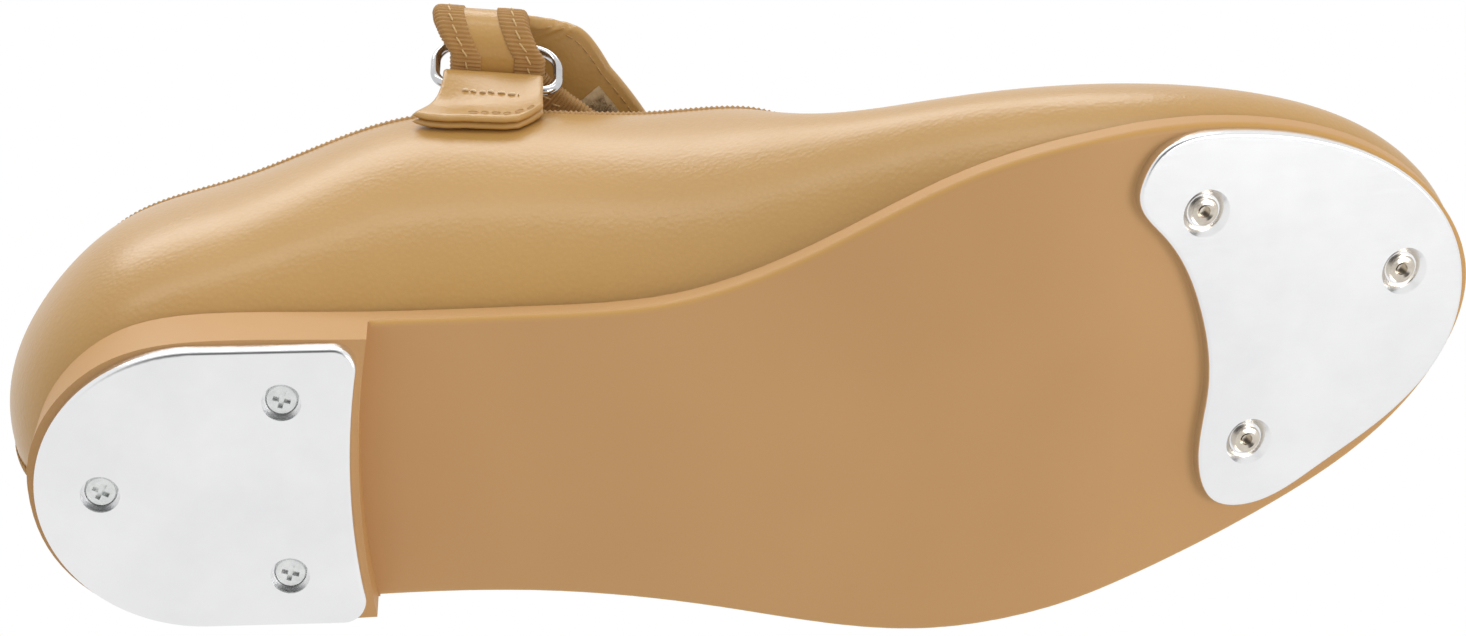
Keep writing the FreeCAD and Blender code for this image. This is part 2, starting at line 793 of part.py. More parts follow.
RING_TURN = math.radians(5)
RING_ALONG = Vector(math.cos(RING_TURN), math.sin(RING_TURN), 0)
RING_OUT = Vector(math.sin(RING_TURN), -math.cos(RING_TURN), 0)
RING_LOW = Vector(50.5, -47.9, 66.0)
RING_LEAN = math.radians(24)
RING_DROP = size("ring_height") - size("ring_wire")
RING_HIGH = RING_LOW + (RING_OUT * math.sin(RING_LEAN) + UP * math.cos(RING_LEAN)) * RING_DROP
ROLL_CENTRE = RING_HIGH - RING_ALONG * 3.6
ROLL_RADIUS = 5.6
LOWER_BEARING = 3.6
UPPER_BEARING = 2.8
RING_LOWER_CORNER = 3.0
RING_UPPER_CORNER = 5.2
TAB_SHIFT = 0.9
TAB_FLARE = 0.28
TAB_FLARE_HEIGHT = 59.0
FLAP_GAP = 0.7
TURN_LENGTH = 20.0
STRAP_PATH = (
    (91.0, 23.8, 44.0),
    (90.6, 22.2, 51.0),
    (89.6, 18.0, 58.5),
    (86.5, 8.0, 65.2),
    (81.5, -8.0, 68.8),
    (74.0, -22.0, 70.2),
    (64.5, -33.5, 70.6),
    (55.0, -41.2, 70.9),
    (51.0, -47.4, 70.8),
)
FLAP_PATH = (
    (56.0, -49.0, 81.6),
    (61.8, -44.8, 80.3),
    (67.4, -38.8, 78.8),
    (72.2, -32.0, 77.3),
    (77.0, -23.0, 75.8),
    (81.5, -11.5, 74.6),
    (85.0, 0.0, 73.2),
    (87.0, 8.0, 71.4),
)


def smooth_path(points, steps):
    """Points along a smooth curve through the given ones, steps of them to each gap."""
    curve = Part.BSplineCurve()
    curve.interpolate([Vector(*point) for point in points])
    return curve.discretize(steps * (len(points) - 1) + 1)


def ribbon_frames(points, first_width):
    """At each point of a path: the point, the width direction and the direction out of the face."""
    frames = []
    for index, point in enumerate(points):
        before = points[max(index - 1, 0)]
        after = points[min(index + 1, len(points) - 1)]
        along = (after - before).normalize()
        level = along.cross(UP)
        if index == 0 or level.Length < 0.4:
            level = frames[-1][1] if frames else first_width
        width = (level - along * level.dot(along)).normalize()
        frames.append((point, width, width.cross(along).normalize()))
    return frames


def ribbon(frames, section):
    """A soft band: its section, given across and out of the face, carried along the frames."""
    wires = []
    for point, width, face in frames:
        corners = [point + width * across + face * out for across, out in section]
        wires.append(Part.makePolygon(corners + corners[:1]))
    return Part.makeLoft(wires, True, True)


def flat_section(width, low, high):
    """A rectangle, width wide, between two heights out of the face."""
    return ((-width / 2, low), (width / 2, low), (width / 2, high), (-width / 2, high))


def tape_section(side):
    """The folded tape on one edge of the strap."""
    reach = 5.2
    skin = 0.35
    gap = 0.05
    half = size("strap_thickness") / 2 + gap
    edge = size("strap_width") / 2 + gap
    points = (
        (edge - reach, half),
        (edge, half),
        (edge, -half),
        (edge - reach, -half),
        (edge - reach, -half - skin),
        (edge + skin, -half - skin),
        (edge + skin, half + skin),
        (edge - reach, half + skin),
    )
    return [(side * across, out) for across, out in points]


def roll_point(degrees):
    """The middle of the strap at an angle round the roll; both ends bear towards the toe."""
    turn = math.radians(degrees)
    share = (degrees + 180) / 90
    bearing = (LOWER_BEARING if share > 0 else UPPER_BEARING) * share * share
    spoke = RING_OUT * -math.cos(turn) + UP * math.sin(turn)
    return ROLL_CENTRE + RING_ALONG * bearing + spoke * ROLL_RADIUS, spoke


def roll_frames():
    """Half way round the roll, from under the ring's upper bar to above it."""
    frames = []
    for degrees in range(-90, -271, -20):
        point, spoke = roll_point(degrees)
        frames.append((point, RING_ALONG * -1, spoke * -1))
    return frames


def strap_frames():
    """The lower layer, from inside the outer quarter to the ring."""
    end, _ = roll_point(-90)
    points = smooth_path(STRAP_PATH + ((end.x, end.y, end.z),), 3)
    return ribbon_frames(points, Vector(-1, 0.45, 0))[:-1]


def flap_frames():
    """The upper layer, from the top of the roll to its free end, turning as it leaves the roll."""
    top, _ = roll_point(-270)
    start = top - RING_OUT * FLAP_GAP
    frames = ribbon_frames(smooth_path(((start.x, start.y, start.z),) + FLAP_PATH, 3), RING_ALONG)
    turned = []
    for point, width, face in frames:
        share = min((point - start).Length / TURN_LENGTH, 1.0)
        share = share * share * (3 - 2 * share)
        width = (RING_ALONG * (1 - share) + width * share).normalize()
        turned.append((point, width, (face - width * face.dot(width)).normalize()))
    turned[0] = (start, RING_ALONG, UP)
    return turned


def make_strap():
    """Both layers of the strap, the tape on their edges and the touch fastener between them."""
    half = size("strap_thickness") / 2
    leather = flat_section(size("strap_width"), -half, half)
    patch = size("strap_width") - 10.8
    gap, pile = 0.05, 1.0
    lower = strap_frames()
    upper = flap_frames()
    pieces = []
    for label, frames in (("strap", lower + roll_frames()), ("strap_flap", upper)):
        pieces.append(shaped_piece(label, ribbon(frames, leather)))
    for label, frames in (("strap_edge_tape", lower + roll_frames()), ("flap_edge_tape", upper)):
        tapes = [ribbon(frames, tape_section(side)) for side in (-1, 1)]
        pieces.append(shaped_piece(label, Part.makeCompound(tapes)))
    # the loops lie along the middle of the lower layer, the hooks from there to the free end
    loops = ribbon(lower[9:20], flat_section(patch, half + gap, half + pile))
    hooks = ribbon(upper[12:], flat_section(patch, -half - pile, -half - gap))
    pieces.append(shaped_piece("loop_patch", loops))
    pieces.append(shaped_piece("hook_patch", hooks))
    return pieces


def make_ring():
    """The oval wire ring, drawn flat and then leaned outwards about its lower bar."""
    wire = size("ring_wire") / 2
    half = size("ring_width") / 2 - wire
    points = []
    for height, corner, up in ((0, RING_LOWER_CORNER, 1), (RING_DROP, RING_UPPER_CORNER, -1)):
        slant = corner * (1 - math.sqrt(0.5))
        right = [(half - corner, height), (half - slant, height + up * slant), (half, height + up * corner)]
        if up < 0:
            right.reverse()
        points.extend(right)
    points.extend([(-x, z) for x, z in reversed(points)])
    corners = [Vector(x, 0, z) for x, z in points]
    edges = []
    for start in range(0, 12, 3):
        arc_start, middle, arc_end, after = (corners[(start + step) % 12] for step in range(4))
        edges.append(Part.Arc(arc_start, middle, arc_end).toShape())
        edges.append(Part.makeLine(arc_end, after))
    circle = Part.Wire([Part.makeCircle(wire, corners[0], Vector(1, 0, 0))])
    solid = Part.Wire(edges).makePipeShell([circle], True, True)
    turn = Rotation(UP, math.degrees(RING_TURN))
    lean = Placement(RING_LOW, turn * Rotation(Vector(1, 0, 0), math.degrees(RING_LEAN)))
    return shaped_piece("strap_ring", solid, lean)


def make_ring_tab():
    """The leather tab: folded round the ring's lower bar, both tails on the collar."""
    half = size("tab_thickness") / 2
    fold = size("ring_wire") / 2 + 0.6 + half
    level = Vector(1, 0, 0)
    inner = ((48.2, -46.35, 51.0), (48.6, -46.5, 55.0), (49.2, -46.65, 59.0), (49.5, -46.85, 62.3))
    centre = RING_LOW - RING_ALONG * TAB_SHIFT
    rows = [(Vector(*point), level) for point in inner]
    for degrees in range(-15, 196, 21):
        turn = math.radians(degrees)
        spoke = RING_OUT * -math.cos(turn) + UP * math.sin(turn)
        rows.append((centre + spoke * fold, RING_ALONG))
    for x, y, z in reversed(inner):
        rows.append((Vector(x, y - size("tab_thickness") - 0.2, z), level))
    wires = []
    for index, (point, width) in enumerate(rows):
        along = rows[min(index + 1, len(rows) - 1)][0] - rows[max(index - 1, 0)][0]
        out = along.cross(width).normalize() * half
        reach = size("tab_width") / 2 + max(0.0, TAB_FLARE_HEIGHT - point.z) * TAB_FLARE
        ends = (point - width * reach, point + width * reach)
        corners = [ends[0] - out, ends[1] - out, ends[1] + out, ends[0] + out]
        wires.append(Part.makePolygon(corners + corners[:1]))
    return shaped_piece("ring_tab", Part.makeLoft(wires, True, True))


# ---- build, check and write --------------------------------------------------------------

NODES = [
    make_outsole(),
    make_heel_core(),
    make_heel_tap(),
    make_toe_tap(),
    make_heel_screws(),
    make_toe_rivets(),
    make_rivet_washers(),
    make_shank(),
    make_tap_board(),
    *make_under_foot(),
    *make_upper_layers(),
    make_collar_binding(),
    *make_strap(),
    make_ring(),
    make_ring_tab(),
]
doc.recompute()

for item in doc.Objects:
    faults = {"Invalid", "Error"} & set(item.State)
    if faults:
        raise RuntimeError(f"{item.Label} failed to compute: {faults}")
for node in NODES:
    if node.Shape.isNull() or not node.Shape.isValid() or not node.Shape.Solids:
        raise RuntimeError(f"{node.Label} has no valid solid")
for node in NODES:
    node.Shape.exportStep(f"parts/{node.Label}.step")
    solids = len(node.Shape.Solids)
    print(f"{node.Label}: {solids} solid(s), {node.Shape.Volume:.0f} mm3")
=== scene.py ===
# Tap shoe, left foot, seen from below on the inner side.  Lengths are in millimetres until mm().
import json
import math
import random

import bmesh
import bpy
import numpy as np
from mathutils import Matrix, Vector

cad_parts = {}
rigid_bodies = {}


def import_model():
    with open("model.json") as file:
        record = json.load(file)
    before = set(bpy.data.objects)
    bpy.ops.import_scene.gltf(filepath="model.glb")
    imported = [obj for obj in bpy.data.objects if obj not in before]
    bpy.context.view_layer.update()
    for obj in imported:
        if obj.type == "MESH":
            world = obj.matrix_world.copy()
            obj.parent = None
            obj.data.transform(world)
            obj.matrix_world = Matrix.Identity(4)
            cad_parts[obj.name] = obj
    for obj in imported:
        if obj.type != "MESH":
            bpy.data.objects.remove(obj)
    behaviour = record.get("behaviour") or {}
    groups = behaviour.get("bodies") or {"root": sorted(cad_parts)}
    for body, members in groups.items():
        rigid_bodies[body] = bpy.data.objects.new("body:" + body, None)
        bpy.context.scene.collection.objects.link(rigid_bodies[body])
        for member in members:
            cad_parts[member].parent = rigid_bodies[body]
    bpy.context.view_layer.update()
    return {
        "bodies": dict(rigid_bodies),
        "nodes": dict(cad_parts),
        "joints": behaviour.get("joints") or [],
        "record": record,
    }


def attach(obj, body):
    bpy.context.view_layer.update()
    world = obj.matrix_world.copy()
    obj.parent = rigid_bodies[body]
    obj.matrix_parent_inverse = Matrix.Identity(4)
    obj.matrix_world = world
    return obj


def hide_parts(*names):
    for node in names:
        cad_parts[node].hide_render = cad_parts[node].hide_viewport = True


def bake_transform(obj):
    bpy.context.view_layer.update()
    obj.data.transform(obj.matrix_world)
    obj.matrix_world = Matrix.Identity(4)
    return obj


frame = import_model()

MM = 0.001
scene = bpy.context.scene
random.seed(7)
UP = np.array([0, 0, 1.0])


# ---- the shoe's driving shape ------------------------------------------------------------

TOE_ANGLE = math.radians(13)
TOE_TAP_START = 156.0
TOE_TAP_THICKNESS = 2.5
SOLE_THICKNESS = 4.4
BREAST_X = 27.5
BREAST_HEIGHT = 10.6
BALL_RADIUS = 70.0
GLUE_LINE = 0.65
OUTER_LIFT = 0.5
FEATHER_RISE = 0.6
SKINS = 3.0
TOP_SHARE = 0.97

# Each rib of the upper: foot x and y, top x, y and z, then how far its curve bears out and up
# from the foot, and out and down from the top.
RIBS = np.array([
    (-28.0, 0.0, -31.5, 0.0, 64.0, 9.0, 9.0, 8.0, 16.0),
    (-24.3, -13.0, -26.5, -14.0, 63.5, 9.0, 9.0, 7.0, 16.0),
    (-13.0, -22.6, -15.0, -26.0, 62.5, 9.0, 9.0, 6.0, 16.0),
    (3.0, -25.3, 3.0, -32.5, 62.0, 11.0, 9.0, 5.0, 16.0),
    (28.0, -25.0, 30.0, -42.3, 63.0, 15.0, 9.0, 4.0, 16.0),
    (55.0, -25.8, 55.0, -44.3, 63.0, 17.0, 9.0, 4.0, 16.0),
    (80.0, -28.8, 78.0, -44.6, 60.0, 17.0, 10.0, 4.0, 15.0),
    (106.0, -40.3, 97.0, -46.4, 55.5, 16.0, 11.0, 5.0, 13.0),
    (128.0, -52.4, 109.0, -41.0, 52.0, 13.0, 14.0, 10.0, 10.0),
    (150.0, -58.6, 116.5, -31.5, 51.0, 11.0, 16.0, 20.0, 7.0),
    (180.0, -57.8, 120.8, -22.5, 52.0, 10.0, 17.0, 32.0, 7.0),
    (205.0, -46.4, 122.3, -16.5, 52.7, 11.0, 18.0, 39.0, 7.0),
    (216.2, -27.0, 122.7, -12.5, 53.0, 11.0, 18.0, 42.0, 7.0),
    (208.4, -6.9, 122.0, -8.5, 52.7, 11.0, 18.0, 39.0, 7.0),
    (182.0, 11.8, 120.0, -1.5, 52.0, 10.0, 17.0, 30.0, 7.0),
    (150.0, 24.0, 115.0, 8.0, 51.0, 9.0, 16.0, 19.0, 7.0),
    (120.0, 29.5, 105.0, 19.0, 52.0, 9.0, 14.0, 11.0, 11.0),
    (88.0, 26.7, 86.0, 28.5, 56.0, 11.0, 11.0, 8.0, 14.0),
    (55.0, 24.5, 55.0, 33.5, 60.5, 12.5, 9.0, 6.0, 16.0),
    (28.0, 25.0, 28.0, 33.0, 62.0, 11.0, 9.0, 6.0, 16.0),
    (3.0, 25.3, 3.0, 29.5, 62.0, 10.0, 9.0, 6.0, 16.0),
    (-13.0, 22.6, -15.0, 24.5, 62.5, 9.0, 9.0, 6.0, 16.0),
    (-24.3, 13.0, -26.5, 13.5, 63.5, 9.0, 9.0, 7.0, 16.0),
])
BALL_CENTRE = np.array([140.0, -15.0])

toe_lift = TOE_TAP_THICKNESS / math.cos(TOE_ANGLE)
RAMP_X = TOE_TAP_START - 2.0
BALL_X = RAMP_X - BALL_RADIUS * math.sin(TOE_ANGLE)
RAMP_HEIGHT = toe_lift + (RAMP_X - TOE_TAP_START) * math.tan(TOE_ANGLE)
BALL_HEIGHT = RAMP_HEIGHT - BALL_RADIUS * (1 - math.cos(TOE_ANGLE))


def sole_top(x):
    """Height of the sole's upper face at stations x, as an array."""
    x = np.asarray(x, float)
    ramp = toe_lift + (x - TOE_TAP_START) * math.tan(TOE_ANGLE)
    ball = BALL_HEIGHT + BALL_RADIUS - np.sqrt(np.maximum(BALL_RADIUS ** 2 - (x - BALL_X) ** 2, 0))
    share = np.clip((x - BREAST_X) / (BALL_X - BREAST_X), 0, 1)
    waist = BALL_HEIGHT + (BREAST_HEIGHT - BALL_HEIGHT) * (1 + np.cos(np.pi * share ** 1.15)) / 2
    low = np.where(x >= RAMP_X, ramp, np.where(x >= BALL_X, ball, waist))
    return low + SOLE_THICKNESS


def seat(flat):
    """Height at which the upper rests on the sole; a little higher over the outer ball."""
    along = np.clip((flat[:, 0] - 108) / 20, 0, 1)
    across = np.clip((flat[:, 1] + 4) / 12, 0, 1)
    return sole_top(flat[:, 0]) + GLUE_LINE + OUTER_LIFT * along * across


def units(rows):
    """Each row of an array, scaled to length 1."""
    return rows / np.linalg.norm(rows, axis=-1, keepdims=True)


def outward(points):
    """Level unit vectors pointing away from the foot's middle line."""
    share = np.clip(points @ BALL_CENTRE / (BALL_CENTRE @ BALL_CENTRE), 0, 1)
    return units(points - share[:, None] * BALL_CENTRE)


def rib_row(share):
    """Points of the upper's outer face on every rib, share of the way up."""
    direction = np.column_stack([outward(RIBS[:, :2]), np.zeros(len(RIBS))])
    foot = np.column_stack([RIBS[:, 0], RIBS[:, 1], seat(RIBS[:, :2]) + FEATHER_RISE])
    top = RIBS[:, 2:5]
    foot_handle = foot + direction * RIBS[:, 5:6] + UP * RIBS[:, 6:7]
    top_handle = top + direction * RIBS[:, 7:8] - UP * RIBS[:, 8:9]
    rest = 1 - share
    return (foot * rest ** 3 + foot_handle * (3 * rest ** 2 * share)
            + top_handle * (3 * rest * share ** 2) + top * share ** 3)


def round_stations():
    """Distances of the ribs round the shoe, by their mean spacing at foot and top."""
    foot, top = RIBS[:, :2], RIBS[:, 2:4]
    gaps = (np.linalg.norm(np.roll(foot, -1, 0) - foot, axis=1)
            + np.linalg.norm(np.roll(top, -1, 0) - top, axis=1)) / 2
    return np.concatenate([[0], np.cumsum(gaps)])


STATIONS = round_stations()


def cubic(start, end, start_bend, end_bend, gap, before, after):
    """Between two knots of a spline; before and after are what is left of the gap on each side."""
    return (start_bend * before ** 3 / (6 * gap) + end_bend * after ** 3 / (6 * gap)
            + (start / gap - start_bend * gap / 6) * before + (end / gap - end_bend * gap / 6) * after)


def round_spline(values, places):
    """A smooth closed curve through one value per rib, read at places round the shoe."""
    count = len(values)
    gap = np.diff(STATIONS)
    matrix = np.zeros((count, count))
    right = np.zeros((count, values.shape[1]))
    slope = (np.roll(values, -1, 0) - values) / gap[:, None]
    for i in range(count):
        before = (i - 1) % count
        matrix[i, before] += gap[before]
        matrix[i, i] += 2 * (gap[before] + gap[i])
        matrix[i, (i + 1) % count] += gap[i]
        right[i] = 6 * (slope[i] - slope[before])
    second = np.linalg.solve(matrix, right)
    places = np.mod(places, STATIONS[-1])
    index = np.clip(np.searchsorted(STATIONS, places, side="right") - 1, 0, count - 1)
    after = (index + 1) % count
    return cubic(values[index], values[after], second[index], second[after], gap[index][:, None],
                 (STATIONS[index + 1] - places)[:, None], (places - STATIONS[index])[:, None])


def wall_grid(shares, places):
    """The outer face as a grid: one row per share, one column per place round the shoe."""
    return np.array([round_spline(rib_row(share), places) for share in shares])


def grid_normals(grid):
    """Unit normals of a closed grid, pointing out of the shoe."""
    along = np.roll(grid, -1, 1) - np.roll(grid, 1, 1)
    upward = np.gradient(grid, axis=0)
    return units(np.cross(along, upward))


# ---- mesh helpers ------------------------------------------------------------------------


def mm(points):
    """Millimetres to metres."""
    return np.asarray(points, float) * MM


def make_mesh(name, points, faces):
    """A mesh object from points in millimetres."""
    mesh = bpy.data.meshes.new(name)
    mesh.from_pydata([tuple(p) for p in mm(points)], [], [tuple(int(i) for i in f) for f in faces])
    mesh.validate()
    mesh.update()
    mesh.polygons.foreach_set("use_smooth", [True] * len(mesh.polygons))
    obj = bpy.data.objects.new(name, mesh)
    scene.collection.objects.link(obj)
    return obj


def grid_faces(rows, columns, start=0, close_rows=False):
    """Quads of a grid of points stored row by row, each row a closed loop."""
    faces = []
    last_row = rows if close_rows else rows - 1
    for r in range(last_row):
        for c in range(columns):
            r2, c2 = (r + 1) % rows, (c + 1) % columns
            faces.append((start + r * columns + c, start + r * columns + c2,
                          start + r2 * columns + c2, start + r2 * columns + c))
    return faces


def closed_band(name, loops):
    """A closed solid from loops of points that run round a tube-like section."""
    loops = np.asarray(loops)
    rows, columns = loops.shape[:2]
    obj = make_mesh(name, loops.reshape(-1, 3), grid_faces(rows, columns, close_rows=True))
    recalc(obj)
    return obj


def sweep(name, stations, section):
    """A solid band: a closed section of (across, out) pairs carried along stations, ends capped.

    section is one array, or one array per station."""
    section = np.asarray(section, float)
    points = []
    for index, station in enumerate(stations):
        shape = section[index] if section.ndim == 3 else section
        points.append(np.array([station.at(across, out) for across, out in shape]))
    return loft(name, points)


def loft(name, points):
    """A solid through rows of points, each a closed section, with capped ends."""
    rows, columns = len(points), len(points[0])
    faces = grid_faces(rows, columns)
    faces.append(tuple(range(columns))[::-1])
    faces.append(tuple((rows - 1) * columns + c for c in range(columns)))
    obj = make_mesh(name, np.concatenate(points), faces)
    recalc(obj)
    return obj


def recalc(obj):
    """Point all faces outwards."""
    work = bmesh.new()
    work.from_mesh(obj.data)
    bmesh.ops.recalc_face_normals(work, faces=work.faces)
    work.to_mesh(obj.data)
    work.free()


def open_spline(points, count):
    """count points at even distances along a smooth curve through the given ones."""
    points = np.asarray(points, float)
    gaps = np.linalg.norm(np.diff(points, axis=0), axis=1)
    t = np.concatenate([[0], np.cumsum(gaps)])
    n = len(points)
    matrix = np.zeros((n, n))
    right = np.zeros((n, points.shape[1]))
    matrix[0, 0] = matrix[-1, -1] = 1
    for i in range(1, n - 1):
        matrix[i, i - 1:i + 2] = gaps[i - 1], 2 * (gaps[i - 1] + gaps[i]), gaps[i]
        ahead, behind = points[i + 1] - points[i], points[i] - points[i - 1]
        right[i] = 6 * (ahead / gaps[i] - behind / gaps[i - 1])
    second = np.linalg.solve(matrix, right)

    def read(place):
        i = np.clip(np.searchsorted(t, place, side="right") - 1, 0, n - 2)
        return cubic(points[i], points[i + 1], second[i], second[i + 1], gaps[i][:, None],
                     (t[i + 1] - place)[:, None], (place - t[i])[:, None])

    fine = read(np.linspace(0, t[-1], 2000))
    length = np.concatenate([[0], np.cumsum(np.linalg.norm(np.diff(fine, axis=0), axis=1))])
    even = np.linspace(0, length[-1], count)
    return np.column_stack([np.interp(even, length, fine[:, k]) for k in range(points.shape[1])])


def capsules(name, runs, radius, around=8, sag=0.0):
    """Stitches: short rounded rods from start to end, slightly bowed towards lift."""
    shares = (0.0, 0.04, 0.16, 0.5, 0.84, 0.96, 1.0)
    widths = (0.15, 0.6, 0.95, 1.0, 0.95, 0.6, 0.15)
    rows = len(shares)
    points, faces = [], []
    for start, end, lift in runs:
        start, end, lift = (np.asarray(v, float) for v in (start, end, lift))
        along = end - start
        length = np.linalg.norm(along)
        along = along / length
        side = np.cross(along, lift)
        side /= np.linalg.norm(side)
        top = np.cross(side, along)
        base = len(points)
        for share, width in zip(shares, widths):
            bow = sag * math.sin(math.pi * share)
            centre = start + along * length * share + top * bow
            for k in range(around):
                turn = 2 * math.pi * k / around
                points.append(centre + (side * math.cos(turn) + top * math.sin(turn)) * radius * width)
        faces += grid_faces(rows, around, base)
        faces.append(tuple(base + k for k in range(around))[::-1])
        faces.append(tuple(base + (rows - 1) * around + k for k in range(around)))
    obj = make_mesh(name, points, faces)
    recalc(obj)
    return obj


# ---- materials ---------------------------------------------------------------------------


class Nodes:
    """A short way to write a material's node tree."""

    def __init__(self, name):
        self.material = bpy.data.materials.new(name)
        self.material.use_nodes = True
        self.tree = self.material.node_tree
        self.shader = self.tree.nodes["Principled BSDF"]
        self.coords = self.tree.nodes.new("ShaderNodeTexCoord").outputs["Object"]

    def new(self, kind):
        return self.tree.nodes.new(kind)

    def link(self, output, target):
        self.tree.links.new(output, target)

    def noise(self, scale, detail=3.0, roughness=0.5, stretch=None):
        node = self.new("ShaderNodeTexNoise")
        node.inputs["Scale"].default_value = scale
        node.inputs["Detail"].default_value = detail
        node.inputs["Roughness"].default_value = roughness
        self.link(self.stretched(stretch), node.inputs["Vector"])
        return node.outputs["Fac"]

    def stretched(self, stretch):
        if stretch is None:
            return self.coords
        mapping = self.new("ShaderNodeMapping")
        mapping.inputs["Scale"].default_value = stretch
        self.link(self.coords, mapping.inputs["Vector"])
        return mapping.outputs["Vector"]

    def voronoi(self, scale, feature="F1", smoothness=0.3, stretch=None):
        node = self.new("ShaderNodeTexVoronoi")
        node.feature = feature
        node.inputs["Scale"].default_value = scale
        if feature == "SMOOTH_F1":
            node.inputs["Smoothness"].default_value = smoothness
        self.link(self.stretched(stretch), node.inputs["Vector"])
        return node.outputs["Distance"]

    def ramp(self, value, stops):
        node = self.new("ShaderNodeValToRGB")
        elements = node.color_ramp.elements
        while len(elements) < len(stops):
            elements.new(0.5)
        for element, (place, colour) in zip(elements, stops):
            element.position = place
            element.color = (*colour, 1) if hasattr(colour, "__len__") else (colour, colour, colour, 1)
        self.link(value, node.inputs["Fac"])
        return node.outputs["Color"]

    def cloudy(self, scale, detail, roughness, low, high):
        """A value or colour that drifts between two, in soft blotches."""
        return self.ramp(self.noise(scale, detail, roughness), [(0.3, low), (0.7, high)])

    def math(self, kind, a, b=None, clamp=False):
        node = self.new("ShaderNodeMath")
        node.operation = kind
        node.use_clamp = clamp
        for index, value in enumerate((a, b)):
            if value is None:
                continue
            if isinstance(value, (int, float)):
                node.inputs[index].default_value = value
            else:
                self.link(value, node.inputs[index])
        return node.outputs[0]

    def mix(self, factor, a, b):
        node = self.new("ShaderNodeMix")
        node.data_type = "RGBA"
        for socket, value in ((node.inputs[0], factor), (node.inputs[6], a), (node.inputs[7], b)):
            if isinstance(value, (int, float)):
                socket.default_value = value
            elif hasattr(value, "__len__"):
                socket.default_value = (*value, 1)
            else:
                self.link(value, socket)
        return node.outputs[2]

    def bump(self, height, strength, distance, under=None):
        node = self.new("ShaderNodeBump")
        node.inputs["Strength"].default_value = strength
        node.inputs["Distance"].default_value = distance
        self.link(height, node.inputs["Height"])
        if under is not None:
            self.link(under, node.inputs["Normal"])
        return node.outputs["Normal"]

    def normal_part(self, axis):
        """One component of the surface's own normal."""
        geometry = self.new("ShaderNodeNewGeometry")
        split = self.new("ShaderNodeSeparateXYZ")
        self.link(geometry.outputs["Normal"], split.inputs[0])
        return split.outputs[axis]

    def finish(self, colour, roughness, normal, **plain):
        for key, value in plain.items():
            self.shader.inputs[key.replace("_", " ")].default_value = value
        self.link(colour, self.shader.inputs["Base Color"])
        if isinstance(roughness, (int, float)):
            self.shader.inputs["Roughness"].default_value = roughness
        else:
            self.link(roughness, self.shader.inputs["Roughness"])
        self.link(normal, self.shader.inputs["Normal"])
        return self.material


def leather_material():
    """Smooth coated leather with a fine pebble grain."""
    n = Nodes("tan_leather")
    patches = n.noise(28.0, 3.0, 0.55)
    speckle = n.noise(900.0, 2.0, 0.6)
    colour = n.ramp(patches, [(0.25, (0.535, 0.300, 0.084)), (0.75, (0.575, 0.330, 0.098))])
    pores = n.voronoi(1250.0, "SMOOTH_F1", 0.6)
    colour = n.mix(n.math("MULTIPLY", pores, 0.12), colour, (0.40, 0.21, 0.06))
    grain = n.math("ADD", n.math("MULTIPLY", pores, 0.8), n.math("MULTIPLY", speckle, 0.5))
    normal = n.bump(n.noise(90.0, 3.0, 0.5), 0.12, 0.0006)
    normal = n.bump(grain, 0.4, 0.00014, normal)
    rough = n.cloudy(60.0, 3.0, 0.6, 0.30, 0.37)
    return n.finish(colour, rough, normal, Coat_Weight=0.18, Coat_Roughness=0.22, Specular_IOR_Level=0.5)


def sole_material():
    """Satin moulded rubber, with painted light on its rounded edge: lighter and yellower where the surface
    tilts away from the tread.
    """
    n = Nodes("tan_sole")
    face = n.cloudy(16.0, 3.0, 0.5, (0.555, 0.304, 0.118), (0.600, 0.335, 0.134))
    # painted highlight: this rim colour stands in for the light that the rounded edge catches
    edge = (0.62, 0.345, 0.095)
    # mask of painted light from the normal's tilt: most on the bevel, some on the upright side, none on the
    # flat tread
    level = n.math("ABSOLUTE", n.normal_part("Z"))
    side = n.ramp(level, [(0.0, 0.25), (0.35, 0.6), (0.7, 1.0), (0.98, 0.0)])
    colour = n.mix(side, face, edge)
    scuffs = n.noise(240.0, 5.0, 0.7, stretch=(1.0, 3.0, 1.0))
    colour = n.mix(n.ramp(scuffs, [(0.62, 0.0), (0.8, 0.18)]), colour, (0.45, 0.25, 0.10))
    normal = n.bump(n.noise(1500.0, 3.0, 0.6), 0.06, 0.0002)
    rough = n.cloudy(45.0, 4.0, 0.6, 0.46, 0.56)
    return n.finish(colour, rough, normal, Specular_IOR_Level=0.42)


def tap_material():
    """Tumbled aluminium with faint cloudy polish and fine scratches."""
    n = Nodes("tap_metal")
    colour = n.cloudy(45.0, 4.0, 0.6, (0.83, 0.83, 0.84), (0.90, 0.90, 0.905))
    scratches = n.noise(260.0, 4.0, 0.65, stretch=(1.0, 14.0, 1.0))
    rough = n.math("ADD", n.math("MULTIPLY", scratches, 0.14), 0.13)
    normal = n.bump(scratches, 0.10, 0.00006)
    normal = n.bump(n.noise(70.0, 2.0, 0.5), 0.10, 0.0004, normal)
    return n.finish(colour, rough, normal, Metallic=1.0)


def plated_material(name, low, high, rough_low, rough_high, pits=0.25):
    """Plated steel with uneven dulling and small marks."""
    n = Nodes(name)
    colour = n.cloudy(420.0, 4.0, 0.65, low, high)
    rough = n.cloudy(900.0, 3.0, 0.6, rough_low, rough_high)
    normal = n.bump(n.noise(1400.0, 4.0, 0.7), pits, 0.00012)
    return n.finish(colour, rough, normal, Metallic=1.0)


def cloth_material(name, low, high, threads=900.0, rough=0.85, sheen=0.3):
    """Woven or knitted cloth: a fine, slightly stretched cell pattern of threads."""
    n = Nodes(name)
    colour = n.cloudy(60.0, 3.0, 0.6, low, high)
    weave = n.voronoi(threads, "F1", stretch=(1.0, 1.0, 1.6))
    dark = tuple(v * 0.55 for v in low)
    colour = n.mix(n.math("MULTIPLY", weave, 0.55, clamp=True), colour, dark)
    normal = n.bump(weave, 0.5, 0.0002)
    return n.finish(colour, rough, normal, Sheen_Weight=sheen, Sheen_Roughness=0.5)


